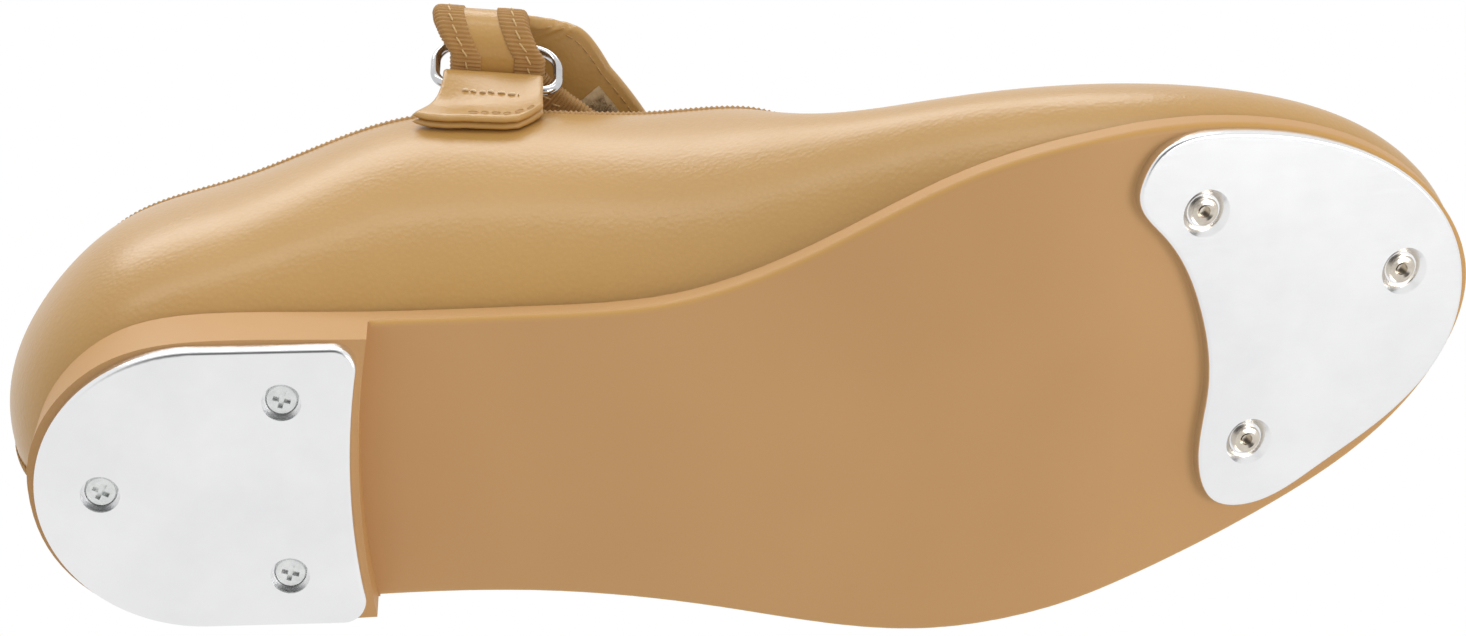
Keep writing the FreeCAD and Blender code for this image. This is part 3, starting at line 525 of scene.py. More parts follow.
def tape_material():
    """Grosgrain tape: matte tan threads with darker furrows."""
    n = Nodes("binding_tape")
    colour = n.cloudy(120.0, 3.0, 0.6, (0.44, 0.235, 0.07), (0.53, 0.30, 0.10))
    fibre = n.noise(2600.0, 3.0, 0.7)
    colour = n.mix(n.math("MULTIPLY", fibre, 0.35), colour, (0.30, 0.14, 0.035))
    normal = n.bump(fibre, 0.35, 0.00012)
    return n.finish(colour, 0.72, normal, Sheen_Weight=0.25, Sheen_Roughness=0.4)


def thread_material(name, colour_low, colour_high):
    """Twisted sewing thread."""
    n = Nodes(name)
    twist = n.noise(1800.0, 2.0, 0.5, stretch=(1.0, 2.5, 1.0))
    colour = n.ramp(twist, [(0.3, colour_low), (0.7, colour_high)])
    return n.finish(colour, 0.6, n.bump(twist, 0.4, 0.0001), Sheen_Weight=0.2)


def board_material(name, low, high, rough=0.85):
    """Pressed fibre board or felt."""
    n = Nodes(name)
    flecks = n.noise(500.0, 5.0, 0.7)
    colour = n.ramp(flecks, [(0.35, low), (0.65, high)])
    return n.finish(colour, rough, n.bump(flecks, 0.3, 0.0002))


MATERIALS = {
    "tan_leather": leather_material(),
    "tan_sole": sole_material(),
    "tap_metal": tap_material(),
    "zinc_steel": plated_material("zinc_steel", (0.66, 0.68, 0.67), (0.84, 0.85, 0.84), 0.20, 0.38, 0.6),
    "nickel_steel": plated_material("nickel_steel", (0.58, 0.52, 0.44), (0.74, 0.68, 0.59), 0.10, 0.22),
    "shank_steel": plated_material("shank_steel", (0.30, 0.30, 0.31), (0.42, 0.42, 0.43), 0.3, 0.5),
    "ring_chrome": plated_material("ring_chrome", (0.56, 0.56, 0.57), (0.66, 0.66, 0.67), 0.08, 0.15, 0.06),
    "core_plastic": board_material("core_plastic", (0.08, 0.07, 0.06), (0.12, 0.11, 0.10), 0.5),
    "fibre_board": board_material("fibre_board", (0.36, 0.26, 0.16), (0.48, 0.37, 0.25)),
    "filler_foam": board_material("filler_foam", (0.62, 0.52, 0.36), (0.74, 0.65, 0.48)),
    "sock_cloth": cloth_material("sock_cloth", (0.58, 0.40, 0.22), (0.64, 0.46, 0.27)),
    "lining_cloth": cloth_material("lining_cloth", (0.56, 0.39, 0.21), (0.63, 0.45, 0.26)),
    "binding_tape": tape_material(),
    "loop_pile": cloth_material("loop_pile", (0.60, 0.43, 0.24), (0.72, 0.54, 0.33), 700.0, 0.7, 0.1),
    "hook_pile": cloth_material("hook_pile", (0.50, 0.34, 0.17), (0.62, 0.44, 0.24), 1100.0, 0.6, 0.1),
}
PALE_THREAD = thread_material("pale_thread", (0.60, 0.39, 0.15), (0.74, 0.52, 0.24))
TAB_THREAD = thread_material("tab_thread", (0.78, 0.58, 0.34), (0.92, 0.74, 0.48))
SEAM_THREAD = thread_material("seam_thread", (0.44, 0.24, 0.07), (0.56, 0.33, 0.11))


def dress(obj, slot, material=None):
    """Gives an object its material: the one given, or else the material of the record's slot."""
    obj.data.materials.clear()
    obj.data.materials.append(material or MATERIALS[slot])
    return obj


def settle(obj, slot, *nodes, material=None):
    """Puts a piece on the shoe's body, in place of its CAD nodes if it has any."""
    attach(obj, "shoe")
    if nodes:
        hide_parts(*nodes)
    return dress(obj, slot, material)


NODE_SLOT = {row["node"]: row["material_slot"] for row in frame["record"]["subparts"]}
for node_name, node in frame["nodes"].items():
    chosen = MATERIALS[NODE_SLOT[node_name]]
    if not node.material_slots:
        node.data.materials.append(chosen)
    for material_slot in node.material_slots:
        material_slot.material = chosen


# ---- the upper ---------------------------------------------------------------------------

ROUND_COUNT = 520
PLACES = np.linspace(0, STATIONS[-1], ROUND_COUNT, endpoint=False)
UPPER_THICKNESS = 1.2
LINING_DEPTH = 2.35
MARGIN_TUCK = 5.0
MARGIN_DROP = 0.35
# over the end of the stiffener in the inner quarter the lining stands in further
LINING_EASE = 0.9
EASE_X = 63.0
EASE_REACH = 13.0


def skin(depth, shares, drop=0.0):
    """A skin depth inside the upper's face, with the margin tucked under at its foot."""
    grid = wall_grid(shares, PLACES)
    normals = grid_normals(grid)
    over = np.exp(-(((grid[..., 0] - EASE_X) / EASE_REACH) ** 2)) * (grid[..., 1] < 0)
    ease = LINING_EASE if depth >= LINING_DEPTH else 0.0
    wall = grid - normals * (depth + ease * over[..., None])
    foot = round_spline(np.column_stack([RIBS[:, :2], outward(RIBS[:, :2])]), PLACES)
    level = units(foot[:, 2:])
    rows = []
    for inset in (MARGIN_TUCK, UPPER_THICKNESS + depth):
        flat = foot[:, :2] - level * inset
        rows.append(np.column_stack([flat, seat(flat) - drop + depth]))
    return np.concatenate([np.array(rows), wall])


WALL_SHARES = np.concatenate([[0.0, 0.012, 0.03, 0.055], np.linspace(0.085, TOP_SHARE + 0.012, 52)])


def layer(name, outer_depth, inner_depth, slot, node):
    """One layer of the upper, between two depths inside its outer face."""
    outer = skin(outer_depth, WALL_SHARES, MARGIN_DROP if outer_depth == 0 else 0.0)
    inner = skin(inner_depth, WALL_SHARES)
    return settle(closed_band(name, np.concatenate([outer, inner[::-1]])), slot, node)


layer("leather_upper", 0.0, UPPER_THICKNESS, "tan_leather", "upper")
lining = layer("cloth_lining", LINING_DEPTH, SKINS, "lining_cloth", "lining")


# ---- collar binding ----------------------------------------------------------------------

BRAID_COUNT = 2600
BRAID_SIDES = 20
BRAID_PITCH = 0.95
BRAID_THICKNESS = 0.35


def make_binding():
    """A narrow braided tape that caps the edge round the foot opening."""
    places = np.linspace(0, STATIONS[-1], BRAID_COUNT, endpoint=False)
    below, top, above = wall_grid((0.985, 1.0, 1.02), places)
    up = units(above - below)
    along = np.roll(top, -1, 0) - np.roll(top, 1, 0)
    length = np.concatenate([[0], np.cumsum(np.linalg.norm(np.diff(top, axis=0), axis=1))])
    total = length[-1] + np.linalg.norm(top[0] - top[-1])
    out = units(np.cross(along, up))
    ribs = round(total / BRAID_PITCH)
    phase = 2 * np.pi * ribs * length / total
    half = SKINS / 2 + BRAID_THICKNESS
    centre = top - out * (SKINS / 2) - up * 0.2
    loops = []
    for k in range(BRAID_SIDES):
        turn = 2 * math.pi * k / BRAID_SIDES
        across, rise = math.cos(turn), math.sin(turn)
        width = half * np.sign(across) * abs(across) ** 0.6
        height = (0.75 if rise > 0 else 1.5) * np.sign(rise) * abs(rise) ** 0.7
        braid = 0.5 + 0.5 * np.cos(phase + 1.3 * across)
        swell = 0.26 * braid ** 1.5 - 0.08
        push = out * (across * swell)[:, None] + up * (max(rise, 0.0) * swell)[:, None]
        loops.append(centre + out * width + up * height + push)
    settle(closed_band("collar_braid", loops), "binding_tape", "collar_binding")


make_binding()


# ---- sock and cushion --------------------------------------------------------------------


def foot_slab(name, inset, low, high, crown, slot, node):
    """A layer under the foot: the feather line moved inwards, with soft edges and a slight crown."""
    places = np.linspace(0, STATIONS[-1], 240, endpoint=False)
    edge = round_spline(RIBS[:, :2], places)
    away = units(round_spline(outward(RIBS[:, :2]), places))
    columns = len(edge)
    partner = (columns - np.arange(columns)) % columns
    inner = edge - away * (inset + 4.0)
    spine = (inner + inner[partner]) / 2

    def level(flat, lift):
        return np.column_stack([flat, sole_top(flat[:, 0]) + low + lift])

    def inward(share, lift, swell):
        flat = inner + (spine - inner) * share
        reach = np.clip(np.linalg.norm(flat - inner, axis=1) / 12.0, 0, 1)
        return level(flat, lift + swell * reach * reach * (3 - 2 * reach))

    thickness = high - low
    loops = [inward(share, 0.0, 0.0) for share in (0.85, 0.4)]
    for move, share in ((0.6, 0.0), (0.15, 0.25), (0.0, 0.5), (0.15, 0.75), (0.7, 1.0), (4.0, 1.0)):
        loops.append(level(edge - away * (inset + move), share * thickness))
    loops += [inward(share, thickness, crown) for share in (0.2, 0.4, 0.6, 0.85)]
    loops = np.array(loops)
    rows = len(loops)
    faces = grid_faces(rows, columns)
    for row in (0, rows - 1):
        # closes the middle with strips between opposite columns
        base = row * columns
        for c in range(columns // 2):
            strip = (c, (c + 1) % columns, columns - c - 1, (columns - c) % columns)
            faces.append(tuple(dict.fromkeys(base + corner for corner in strip)))
    obj = make_mesh(name, loops.reshape(-1, 3), faces)
    recalc(obj)
    return settle(obj, slot, node)


BOARD_THICKNESS = 2.0
FOAM_THICKNESS = 2.6
SOCK_THICKNESS = 0.9
FOAM_SLACK = 0.1
BOARD_LOW = SKINS + GLUE_LINE + 0.9
FOAM_LOW = BOARD_LOW + BOARD_THICKNESS + FOAM_SLACK
FOAM_HIGH = FOAM_LOW + FOAM_THICKNESS - 2 * FOAM_SLACK
SOCK_LOW = BOARD_LOW + BOARD_THICKNESS + FOAM_THICKNESS
foam = foot_slab("foam_cushion", 4.6, FOAM_LOW, FOAM_HIGH, 0.2, "filler_foam", "foam_insole")
sock = foot_slab("cloth_sock", 4.5, SOCK_LOW, SOCK_LOW + SOCK_THICKNESS, 0.5, "sock_cloth", "sock_liner")


# ---- strap, tapes and touch fastener -----------------------------------------------------

RING_TURN = math.radians(5)
RING_ALONG = np.array([math.cos(RING_TURN), math.sin(RING_TURN), 0])
RING_OUT = np.array([math.sin(RING_TURN), -math.cos(RING_TURN), 0])
RING_LOW = np.array([50.5, -47.9, 66.0])
RING_LEAN = math.radians(24)
RING_HEIGHT = 12.8
RING_WIRE = 1.8
RING_DROP = RING_HEIGHT - RING_WIRE
RING_HIGH = RING_LOW + (RING_OUT * math.sin(RING_LEAN) + UP * math.cos(RING_LEAN)) * RING_DROP
ROLL_CENTRE = RING_HIGH - RING_ALONG * 3.6
ROLL_RADIUS = 5.6
TURN_LENGTH = 20.0
STRAP_WIDTH = 16.4
STRAP_THICKNESS = 2.2
# how far the strap bears towards the toe by the start and the end of its roll round the ring
LOWER_BEARING = 3.6
UPPER_BEARING = 2.8
# the side of the roll towards the toe turns further by this many degrees, over this half width
ROLL_LAG = 50.0
EDGE_REACH = 8.6


def roll_point(degrees):
    """The middle of the strap at an angle round the roll; both ends bear towards the toe."""
    turn = math.radians(degrees)
    share = (degrees + 180) / 90
    bearing = (LOWER_BEARING if share > 0 else UPPER_BEARING) * share * share
    spoke = RING_OUT * -math.cos(turn) + UP * math.sin(turn)
    return ROLL_CENTRE + RING_ALONG * bearing + spoke * ROLL_RADIUS, spoke


STRAP_PATH = [
    (91.0, 23.8, 44.0), (90.6, 22.2, 51.0), (89.6, 18.0, 58.5), (86.5, 8.0, 65.2), (81.5, -8.0, 68.8),
    (74.0, -22.0, 70.2), (64.5, -33.5, 70.6), (55.0, -41.2, 70.9), (51.0, -47.4, 70.8),
    tuple(roll_point(-90)[0]),
]
FLAP_PATH = [
    tuple(roll_point(-270)[0]), (56.0, -49.0, 81.6), (61.8, -44.8, 80.3), (67.4, -38.8, 78.8),
    (72.2, -32.0, 77.3), (77.0, -23.0, 75.8), (81.5, -11.5, 74.6), (85.0, 0.0, 73.2), (87.0, 8.0, 71.4),
]


def unit(v):
    return v / np.linalg.norm(v)


def ribbon_frames(points, first_width):
    """Centre, width and face directions along a path, the width kept as level as it can be."""
    frames = []
    for index, point in enumerate(points):
        along = unit(points[min(index + 1, len(points) - 1)] - points[max(index - 1, 0)])
        level = np.cross(along, UP)
        if index == 0 or np.linalg.norm(level) < 0.4:
            level = frames[-1][1] if frames else first_width
        width = unit(level - along * (level @ along))
        frames.append((point, width, unit(np.cross(width, along))))
    return frames


class Station:
    """One cross-section of the strap; at() gives a point from its place across and out of the face."""

    def __init__(self, centre, width, face, degrees=None):
        self.centre, self.width, self.face, self.degrees = centre, width, face, degrees

    def at(self, across, out):
        if self.degrees is None:
            return self.centre + self.width * across + self.face * out
        # the side towards the toe leaves the roll earlier than the other
        late = smooth((-180 - self.degrees) / 90)
        toe_side = min(max((EDGE_REACH - across) / (2 * EDGE_REACH), 0.0), 1.0)
        point, spoke = roll_point(self.degrees + ROLL_LAG * late * toe_side ** 1.3)
        return point - RING_ALONG * across - spoke * out


def smooth(share):
    """Eases a share from 0 to 1 with level ends."""
    share = min(max(share, 0.0), 1.0)
    return share * share * (3 - 2 * share)


def roll_stations(count):
    """Sections of the strap round the roll, from below it to above it."""
    stations = []
    for degrees in np.linspace(-90, -270, count):
        point, spoke = roll_point(degrees)
        stations.append(Station(point, -RING_ALONG, -spoke, degrees))
    return stations


def turned(frames, first_width, reach):
    """Turns the width smoothly from first_width over the first reach of the path."""
    start = frames[0][0]
    eased = []
    for point, width, face in frames:
        share = smooth(np.linalg.norm(point - start) / reach)
        width = unit(first_width * (1 - share) + width * share)
        eased.append((point, width, unit(face - width * (face @ width))))
    return eased


LOWER = ribbon_frames(open_spline(STRAP_PATH, 420), unit(np.array([-1, 0.45, 0])))[:-1]
LOWER = turned(LOWER[::-1], -RING_ALONG, 9.0)[::-1]
FLAP = turned(ribbon_frames(open_spline(FLAP_PATH, 320), RING_ALONG), RING_ALONG, TURN_LENGTH)
FLAP_LENGTHS = np.concatenate([[0], np.cumsum([np.linalg.norm(b[0] - a[0])
                                               for a, b in zip(FLAP, FLAP[1:])])])


def leather_section(width, thickness):
    """A flat band with softly rounded edges and a slightly crowned face."""
    points = []
    half, thick = width / 2, thickness / 2
    edge = thick * 0.8
    for side in (1, -1):
        for turn in np.linspace(-90, 90, 9) if side > 0 else np.linspace(90, 270, 9):
            a = math.radians(turn)
            points.append((side * (half - edge) + edge * math.cos(a), thick * math.sin(a)))
        for share in (0.6, 0.2, -0.2, -0.6):
            points.append((side * share * (half - edge), side * (thick + 0.06 * (1 - share * share))))
    return np.array(points)


TAPE_REACH = 5.2
TAPE_THICKNESS = 0.34
TAPE_CORNER = 0.9
TAPE_PITCH = 0.74
STITCH_PITCH = 2.1


def tape_sections(stations, side):
    """The ribbed tape folded over one edge of the strap, one section per station."""
    reach, skin_thickness, corner = TAPE_REACH, TAPE_THICKNESS, TAPE_CORNER
    half = STRAP_THICKNESS / 2 + 0.02
    edge = STRAP_WIDTH / 2 + 0.02
    inner = [(edge - reach, half), (edge - corner, half), (edge, 0.45 * half), (edge, -0.45 * half),
             (edge - corner, -half), (edge - reach, -half)]
    outer = [(edge - reach, -half - 0.6 * skin_thickness), (edge - reach + 0.1, -half - skin_thickness)]
    for share in (0.75, 0.5, 0.25):
        outer.append((edge - reach * share, -half - skin_thickness))
    for turn in np.linspace(-90, 90, 9):
        a = math.radians(turn)
        outer.append((edge - corner + (corner + skin_thickness) * math.cos(a),
                      (half + skin_thickness) * math.sin(a)))
    for share in (0.25, 0.5, 0.75):
        outer.append((edge - reach * share, half + skin_thickness))
    outer += [(edge - reach + 0.1, half + skin_thickness), (edge - reach, half + 0.6 * skin_thickness)]
    length = 0.0
    sections = []
    edge_line = side * (edge - reach / 2)
    previous = stations[0].at(edge_line, 0)
    for station in stations:
        point = station.at(edge_line, 0)
        length += np.linalg.norm(point - previous)
        previous = point
        swell = 0.25 * (0.5 + 0.5 * math.cos(2 * math.pi * length / TAPE_PITCH)) ** 0.6 - 0.13
        shape = [np.array(p) for p in inner]
        for p in outer:
            p = np.array(p)
            push = unit(np.array([max(p[0] - (edge - corner), 0.0), p[1]]) + 1e-9)
            wave = 0.03 * math.sin(length * 1.7 + 3 * p[0])
            shape.append(p + push * (swell + wave))
        section = np.array(shape)
        section[:, 0] *= side
        sections.append(section)
    return np.array(sections)


def tape_stitches(stations, side):
    """Pale thread along the middle of a tape, on both faces."""
    runs = []
    across = side * (STRAP_WIDTH / 2 - 2.5)
    line = np.array([station.at(across, 0) for station in stations])
    length = np.concatenate([[0], np.cumsum(np.linalg.norm(np.diff(line, axis=0), axis=1))])
    place = 1.2
    while place + STITCH_PITCH * 0.75 < length[-1]:
        for face_side in (1, -1):
            out = face_side * (STRAP_THICKNESS / 2 + 0.47)
            ends = []
            for p, drift in ((place, -0.22), (place + STITCH_PITCH * 0.72, 0.22)):
                index = min(int(np.searchsorted(length, p)), len(stations) - 1)
                drift += random.uniform(-0.12, 0.12)
                ends.append(stations[index].at(across + drift, out))
            lift = ends[0] - stations[index].at(across, 0)
            runs.append((ends[0], ends[1], lift))
        place += STITCH_PITCH + random.uniform(-0.12, 0.12)
    return runs


def finer(frames, times):
    """The same frames with more of them between, for the ribs of the tape."""
    more = []
    for (p, w, f), (p2, w2, f2) in zip(frames, frames[1:]):
        for k in range(times):
            share = k / times
            more.append((p + (p2 - p) * share, unit(w + (w2 - w) * share), unit(f + (f2 - f) * share)))
    return more + [frames[-1]]


def make_lower_strap():
    """The layer that comes up from the outer side, goes through the ring and round the roll."""
    stations = [Station(*row) for row in finer(LOWER, 4)][:-1] + roll_stations(260)
    band = sweep("strap_leather", stations, leather_section(STRAP_WIDTH, STRAP_THICKNESS))
    settle(band, "tan_leather", "strap")
    for index, side in enumerate((-1, 1)):
        tape = sweep(f"strap_tape_{index + 1}", stations, tape_sections(stations, side))
        settle(tape, "binding_tape", *(["strap_edge_tape"] if index == 0 else []))
    runs = tape_stitches(stations, -1) + tape_stitches(stations, 1)
    thread = capsules("strap_stitches", runs, 0.17, sag=0.05)
    settle(thread, "binding_tape", material=PALE_THREAD)


def flap_blend(obj):
    """Bakes the placement of a piece of the free end into its mesh."""
    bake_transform(obj)


def flap_row(frame, distance, section):
    """One section of the free end: eased from the slanting end of the roll to its own path."""
    centre, width, face = frame
    roll_end = Station(None, -RING_ALONG, None, -270.0)
    top = Station(FLAP[0][0], RING_ALONG, UP)
    stay = 1 - smooth(distance / 15.0)
    swell = math.sin(math.pi * min(distance / 19.0, 1.0))
    row = []
    for across, out in section:
        toe_side = min(max((across + EDGE_REACH) / (2 * EDGE_REACH), 0.0), 1.0)
        point = centre + width * across + face * out
        point = point + (roll_end.at(-across, -out) - top.at(across, out)) * stay
        point = point + (RING_OUT * 2.4 - UP * 0.4) * swell * toe_side ** 1.6
        wave = math.sin(2.3 * distance - 0.35 * across)
        crease = 0.22 * wave * math.exp(-((distance - 5.5) / 3.0) ** 2)
        row.append(point + face * crease * toe_side ** 2)
    return row


def make_flap():
    """The free end: smooth leather with turned edges, stitched down both sides."""
    section = leather_section(STRAP_WIDTH + 0.7, STRAP_THICKNESS + 0.35)
    rows = [np.array(flap_row(row, place, section)) for row, place in zip(FLAP, FLAP_LENGTHS)]
    band = loft("flap_leather", rows)
    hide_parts("strap_flap", "flap_edge_tape")
    dress(band, "tan_leather")
    flap_blend(band)
    runs = []
    half = (STRAP_THICKNESS + 0.35) / 2 + 0.02
    for across in (-6.6, 6.6):
        place = 9.0
        while place + 1.6 < FLAP_LENGTHS[-1]:
            for out in (-half, half):
                ends = []
                for p in (place, place + 1.5):
                    index = int(np.searchsorted(FLAP_LENGTHS, p))
                    ends.append(flap_row(FLAP[index], FLAP_LENGTHS[index], [(across, out)])[0])
                runs.append((ends[0], ends[1], FLAP[index][2] * math.copysign(1, out)))
            place += 2.1
    thread = capsules("flap_stitches", runs, 0.14, sag=0.05)
    dress(thread, "tan_leather", SEAM_THREAD)
    flap_blend(thread)


make_lower_strap()
make_flap()


FIBRE_STEPS = 7
FIBRE_RADIUS = 0.06


def pile(name, stations, width, low, high, slot, loops):
    """A patch of touch fastener: a woven backing with standing loops or hooks."""
    section = [(-width / 2, low), (width / 2, low), (width / 2, low + 0.35 * (high - low)),
               (-width / 2, low + 0.35 * (high - low))]
    backing = sweep(name + "_backing", stations, section)
    dress(backing, slot)
    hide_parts(name)
    points, faces = [], []
    picks = random.Random(11)
    foot = low + 0.3 * (high - low)
    rise = high - foot
    for _ in range(loops):
        station = stations[picks.randrange(2, len(stations) - 2)]
        across = picks.uniform(-width / 2 + 0.3, width / 2 - 0.3)
        place = station.at(across, foot)
        out = unit(station.at(across, foot + 0.1 * math.copysign(1, rise)) - place)
        lean = picks.uniform(0, 2 * math.pi)
        along = unit(np.cross(out, station.width))
        span = unit(station.width * math.cos(lean) + along * math.sin(lean)) * picks.uniform(0.28, 0.6)
        tall = abs(rise) * picks.uniform(0.7, 1.2)
        sideways = unit(np.cross(span, out))
        base = len(points)
        for k in range(FIBRE_STEPS):
            share = k / (FIBRE_STEPS - 1)
            middle = place + span * (2 * share - 1) + out * tall * math.sin(math.pi * share)
            for j in range(4):
                turn = 2 * math.pi * j / 4
                radial = (unit(span) * math.cos(turn) * math.sin(math.pi * share)
                          + out * math.cos(turn) * 0.3)
                points.append(middle + (radial + sideways * math.sin(turn)) * FIBRE_RADIUS)
        faces += grid_faces(FIBRE_STEPS, 4, base)
    fuzz = make_mesh(name + "_fibres", points, faces)
    dress(fuzz, slot)
    return backing, fuzz


class FlapStation(Station):
    """A section of the free end, where it still eases away from the roll."""

    def __init__(self, index):
        super().__init__(*FLAP[index])
        self.index = index

    def at(self, across, out):
        return flap_row(FLAP[self.index], FLAP_LENGTHS[self.index], [(across, out)])[0]


half_strap = STRAP_THICKNESS / 2
loop_start, loop_end = int(0.30 * len(LOWER)), int(0.86 * len(LOWER))
loop_stations = [Station(*row) for row in LOWER[loop_start:loop_end:4]]
for piece in pile("loop_patch", loop_stations, 11.5, half_strap + 0.36, half_strap + 1.7,
                  "loop_pile", 3200):
    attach(piece, "shoe")
hook_start = int(np.searchsorted(FLAP_LENGTHS, TURN_LENGTH))
hook_stations = [FlapStation(index) for index in range(hook_start, len(FLAP), 4)]
for piece in pile("hook_patch", hook_stations, 9.5, -half_strap - 0.2, -half_strap - 1.3,
                  "hook_pile", 2800):
    flap_blend(piece)


# ---- ring tab ----------------------------------------------------------------------------

TAB_THICKNESS = 1.3
TAB_TOP = 62.3
TAB_HALF_WIDTH = 9.0
TAB_WALL = ((46.0, -46.2), (51.0, -46.35), (55.0, -46.5), (59.0, -46.65), (TAB_TOP, -46.85))
TAB_FOOT = ((-1.0, 54.2), (-0.8, 52.0), (-0.5, 50.4), (0.0, 49.3), (0.4, 48.7), (0.62, 49.2),
            (0.8, 51.6), (1.0, 55.6))


def tab_foot(share):
    """Height of the tab's lower edge at one place across."""
    return float(np.interp(share, *zip(*TAB_FOOT)))


def tab_column(share):
    """Middle line of the folded leather at one place across: inner tail, ring, outer tail."""
    foot = tab_foot(share)
    centre = RING_LOW - RING_ALONG * 0.7
    fold = RING_WIRE / 2 + 0.6 + TAB_THICKNESS / 2
    hinge = centre + RING_ALONG * share * TAB_HALF_WIDTH
    inner = []
    for z in np.linspace(foot, TAB_TOP, 6):
        low = min(max((61.0 - z) / (61.0 - foot), 0.0), 1.0) ** 1.25
        x = hinge[0] * (1 - low) + (47.2 + 11.6 * share) * low
        y = float(np.interp(z, *zip(*TAB_WALL))) + 0.8 * low * max(-share - 0.2, 0.0)
        inner.append(np.array([x, y, z]))
    bend = []
    for degrees in range(-15, 196, 21):
        turn = math.radians(degrees)
        bend.append(hinge + (RING_OUT * -math.cos(turn) + UP * math.sin(turn)) * fold)
    outer = [p + np.array([0, -TAB_THICKNESS - 0.05, -0.25]) for p in reversed(inner[:3])]
    return open_spline(inner + bend + outer, 110)


def make_tab():
    """Two layers of leather, folded round the ring's lower bar and sewn to the collar."""
    shares = np.concatenate([[-1.0, -0.985, -0.95, -0.9], np.linspace(-0.82, 0.82, 25),
                             [0.9, 0.95, 0.985, 1.0]])
    grid = np.array([tab_column(s) for s in shares]).transpose(1, 0, 2)
    across = np.gradient(grid, axis=1)
    along = np.gradient(grid, axis=0)
    normal = units(np.cross(along, across))
    rounded = np.sqrt(np.clip(1 - np.clip((np.abs(shares) - 0.93) / 0.07, 0, 1) ** 2, 0.06, 1))
    rows = len(grid)
    ends = np.minimum(np.arange(rows), rows - 1 - np.arange(rows)) / 3.0
    ended = np.sqrt(np.clip(1 - np.clip(1 - ends, 0, 1) ** 2, 0.06, 1))
    half = TAB_THICKNESS / 2 * rounded[None, :, None] * ended[:, None, None]
    front, behind = grid + normal * half, grid - normal * half
    columns = len(shares)
    loops = np.concatenate([front, behind[:, ::-1]], axis=1)
    faces = grid_faces(rows, 2 * columns)
    faces += [(c, c + 1, 2 * columns - 2 - c, 2 * columns - 1 - c) for c in range(columns - 1)]
    last = (rows - 1) * 2 * columns
    faces += [tuple(last + i for i in (c, 2 * columns - 1 - c, 2 * columns - 2 - c, c + 1))
              for c in range(columns - 1)]
    tab = make_mesh("ring_tab_leather", loops.reshape(-1, 3), faces)
    recalc(tab)
    settle(tab, "tan_leather", "ring_tab")


make_tab()


def tab_seam(name, first, last, height, radius, thread):
    """A row of uneven stitches across the tab's outer face, between two places across."""
    runs = []
    place = first
    while place < last:
        step = random.uniform(0.11, 0.17)
        ends = []
        for share in (place, min(place + step, last)):
            column = tab_column(share)[60:]
            target = height(share) + random.uniform(-0.2, 0.2)
            ends.append(column[int(np.argmin(np.abs(column[:, 2] - target)))] + np.array([0, -0.82, 0]))
        runs.append((ends[0], ends[1], np.array([0, -1.0, 0])))
        place += step + random.uniform(0.03, 0.06)
    settle(capsules(name, runs, radius, sag=0.16), "tan_leather", material=thread)


tab_seam("tab_stitches", -0.55, 0.55, lambda share: 59.0 - 1.3 * share, 0.24, TAB_THREAD)
tab_seam("tab_lower_stitches", -0.2, 0.85, lambda share: tab_foot(share) + 1.6, 0.13, SEAM_THREAD)


def back_seam():
    """Zigzag thread down the seam at the back of the heel."""
    shares = np.linspace(0.05, 0.93, 56)
    middle = STATIONS[-1] - 5.5
    runs = []
    for index in range(len(shares) - 1):
        sides = (-1.1, 1.1) if index % 2 else (1.1, -1.1)
        ends = []
        for share, side in ((shares[index], sides[0]), (shares[index + 1], sides[1])):
            places = np.array([middle + side - 1, middle + side, middle + side + 1])
            grid = wall_grid((share - 0.01, share, share + 0.01), places)
            normal = np.cross(grid[1, 2] - grid[1, 0], grid[2, 1] - grid[0, 1])
            ends.append((grid[1, 1] + unit(normal) * 0.12, unit(normal)))
        runs.append((ends[0][0], ends[1][0], ends[0][1]))
    thread = capsules("back_seam_thread", runs, 0.16, sag=0.1)
    settle(thread, "tan_leather", material=SEAM_THREAD)


back_seam()


# ---- stage, light and camera -------------------------------------------------------------


def make_floor():
    """A pale floor that shows only from above, so the shoe can be seen from underneath."""
    mesh = bpy.data.meshes.new("floor")
    reach = 3.0
    corners = [(-reach, -reach, 0), (reach, -reach, 0), (reach, reach, 0), (-reach, reach, 0)]
    mesh.from_pydata(corners, [], [(0, 1, 2, 3)])
    floor = bpy.data.objects.new("floor", mesh)
    scene.collection.objects.link(floor)
    floor.location.z = -0.2 * MM
    material = bpy.data.materials.new("pale_floor")
    material.use_nodes = True
    tree = material.node_tree
    shader = tree.nodes["Principled BSDF"]
    shader.inputs["Base Color"].default_value = (0.82, 0.81, 0.79, 1)
    shader.inputs["Roughness"].default_value = 0.7
    clear = tree.nodes.new("ShaderNodeBsdfTransparent")
    geometry = tree.nodes.new("ShaderNodeNewGeometry")
    mix = tree.nodes.new("ShaderNodeMixShader")
    tree.links.new(geometry.outputs["Backfacing"], mix.inputs[0])
    tree.links.new(shader.outputs[0], mix.inputs[1])
    tree.links.new(clear.outputs[0], mix.inputs[2])
    tree.links.new(mix.outputs[0], tree.nodes["Material Output"].inputs["Surface"])
    mesh.materials.append(material)
    floor.visible_shadow = False
    floor.visible_diffuse = False
    floor.visible_glossy = False


make_floor()

# The studio is white to the camera, softer to the shoe, a little brighter in reflections, and
# dark in reflections of the side that the camera stands on.
DARK_SIDE = (0.0, -0.45, -0.89)
DARK_SHARE = 0.85
DARK_EDGE, DARK_MIDDLE = math.cos(math.radians(38)), math.cos(math.radians(10))
SOFT_LIGHT = 0.66
REFLECTED_MORE = 0.27


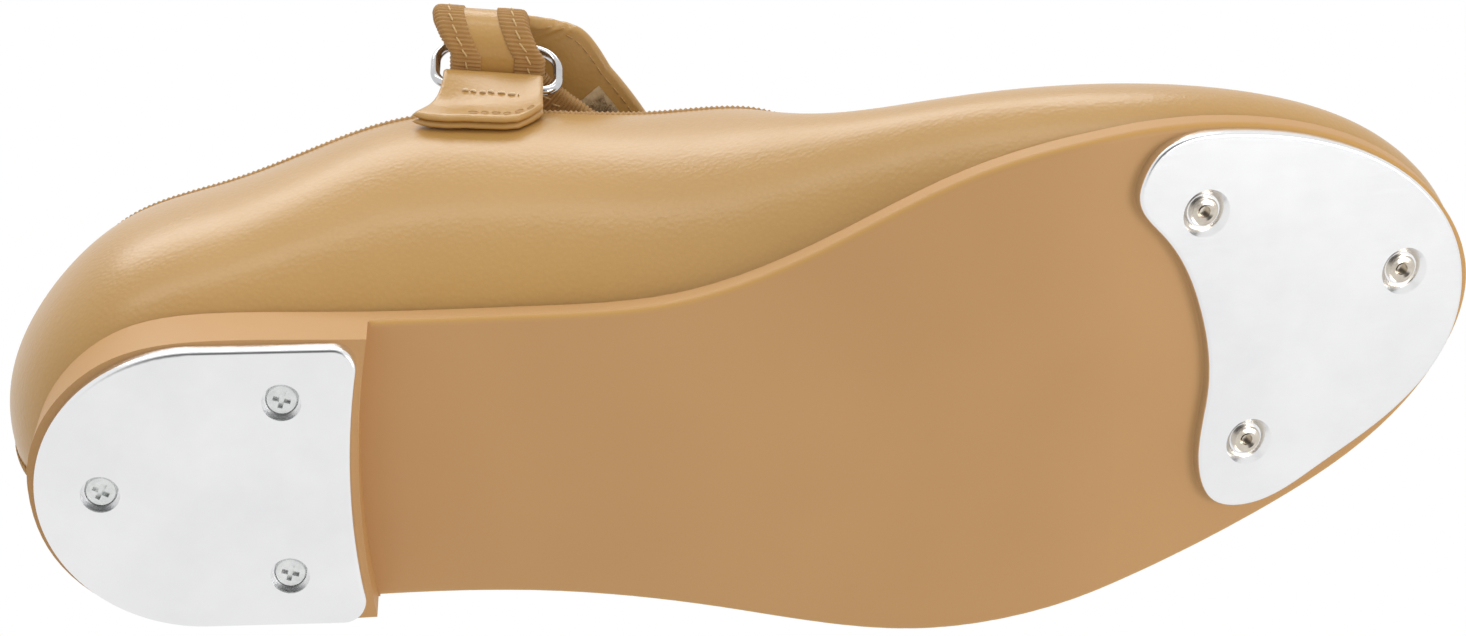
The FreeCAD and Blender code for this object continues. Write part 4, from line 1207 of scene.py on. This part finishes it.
def make_world():
    """The studio's surroundings."""
    world = bpy.data.worlds.new("studio")
    scene.world = world
    world.use_nodes = True
    tree = world.node_tree
    background = tree.nodes["Background"]
    background.inputs["Color"].default_value = (1, 1, 1, 1)
    shown = tree.nodes.new("ShaderNodeBackground")
    shown.inputs["Color"].default_value = (1, 1, 1, 1)
    path = tree.nodes.new("ShaderNodeLightPath")
    glossy = path.outputs["Is Glossy Ray"]

    def calculate(operation, *values):
        node = tree.nodes.new("ShaderNodeMath")
        node.operation = operation
        for socket, value in zip(node.inputs, values):
            if isinstance(value, float):
                socket.default_value = value
            else:
                tree.links.new(value, socket)
        return node.outputs[0]

    sky = tree.nodes.new("ShaderNodeTexCoord")
    towards = tree.nodes.new("ShaderNodeVectorMath")
    towards.operation = "DOT_PRODUCT"
    towards.inputs[1].default_value = DARK_SIDE
    tree.links.new(sky.outputs["Generated"], towards.inputs[0])
    zone = tree.nodes.new("ShaderNodeMapRange")
    zone.interpolation_type = "SMOOTHSTEP"
    for name, value in (("From Min", DARK_EDGE), ("From Max", DARK_MIDDLE),
                        ("To Min", 0.0), ("To Max", -DARK_SHARE)):
        zone.inputs[name].default_value = value
    tree.links.new(towards.outputs["Value"], zone.inputs["Value"])
    bright = calculate("MULTIPLY_ADD", glossy, REFLECTED_MORE, SOFT_LIGHT)
    kept = calculate("MULTIPLY_ADD", glossy, zone.outputs[0], 1.0)
    tree.links.new(calculate("MULTIPLY", bright, kept), background.inputs["Strength"])
    mix = tree.nodes.new("ShaderNodeMixShader")
    tree.links.new(path.outputs["Is Camera Ray"], mix.inputs[0])
    tree.links.new(background.outputs[0], mix.inputs[1])
    tree.links.new(shown.outputs[0], mix.inputs[2])
    tree.links.new(mix.outputs[0], tree.nodes["World Output"].inputs["Surface"])


make_world()

CAMERA_PLACE = np.array([53.25, -239.28, -501.28])
CAMERA_RIGHT = np.array([0.9976, -0.0058, -0.0685])
CAMERA_UP = np.array([0.0210, -0.9228, 0.3847])
FOCAL_PIXELS = 3300.0
IMAGE_WIDTH = 1466.0
SENSOR = 36.0

right = unit(CAMERA_RIGHT)
up = unit(CAMERA_UP - right * (CAMERA_UP @ right))
back = np.cross(right, up)
camera_data = bpy.data.cameras.new("camera")
camera_data.sensor_width = SENSOR
camera_data.lens = FOCAL_PIXELS / IMAGE_WIDTH * SENSOR
camera_data.clip_start = 0.01
camera = bpy.data.objects.new("camera", camera_data)
matrix = Matrix.Identity(4)
for column, axis in enumerate((right, up, back)):
    for row in range(3):
        matrix[row][column] = axis[row]
for row in range(3):
    matrix[row][3] = CAMERA_PLACE[row] * MM
camera.matrix_world = matrix
scene.collection.objects.link(camera)
scene.camera = camera
scene.view_settings.view_transform = "Standard"
scene.view_settings.look = "None"

TARGET = np.array([90.0, -12.0, 20.0])


def area_light(name, across, above, behind, width, height, power):
    """A soft box placed from the target along the camera's own axes, in millimetres."""
    data = bpy.data.lights.new(name, "AREA")
    data.shape = "RECTANGLE"
    data.size = width * MM
    data.size_y = height * MM
    data.energy = power
    light = bpy.data.objects.new(name, data)
    place = TARGET + right * across + up * above + back * behind
    light.location = mm(place)
    aim = Vector(mm(TARGET - place))
    light.rotation_euler = aim.to_track_quat("-Z", "Y").to_euler()
    scene.collection.objects.link(light)


area_light("key_soft", -100, 800, 250, 1100, 120, 1.65)
area_light("face_soft", 800, -200, 700, 500, 500, 3.0)
area_light("rim_soft", -150, 700, -350, 800, 240, 2.2)
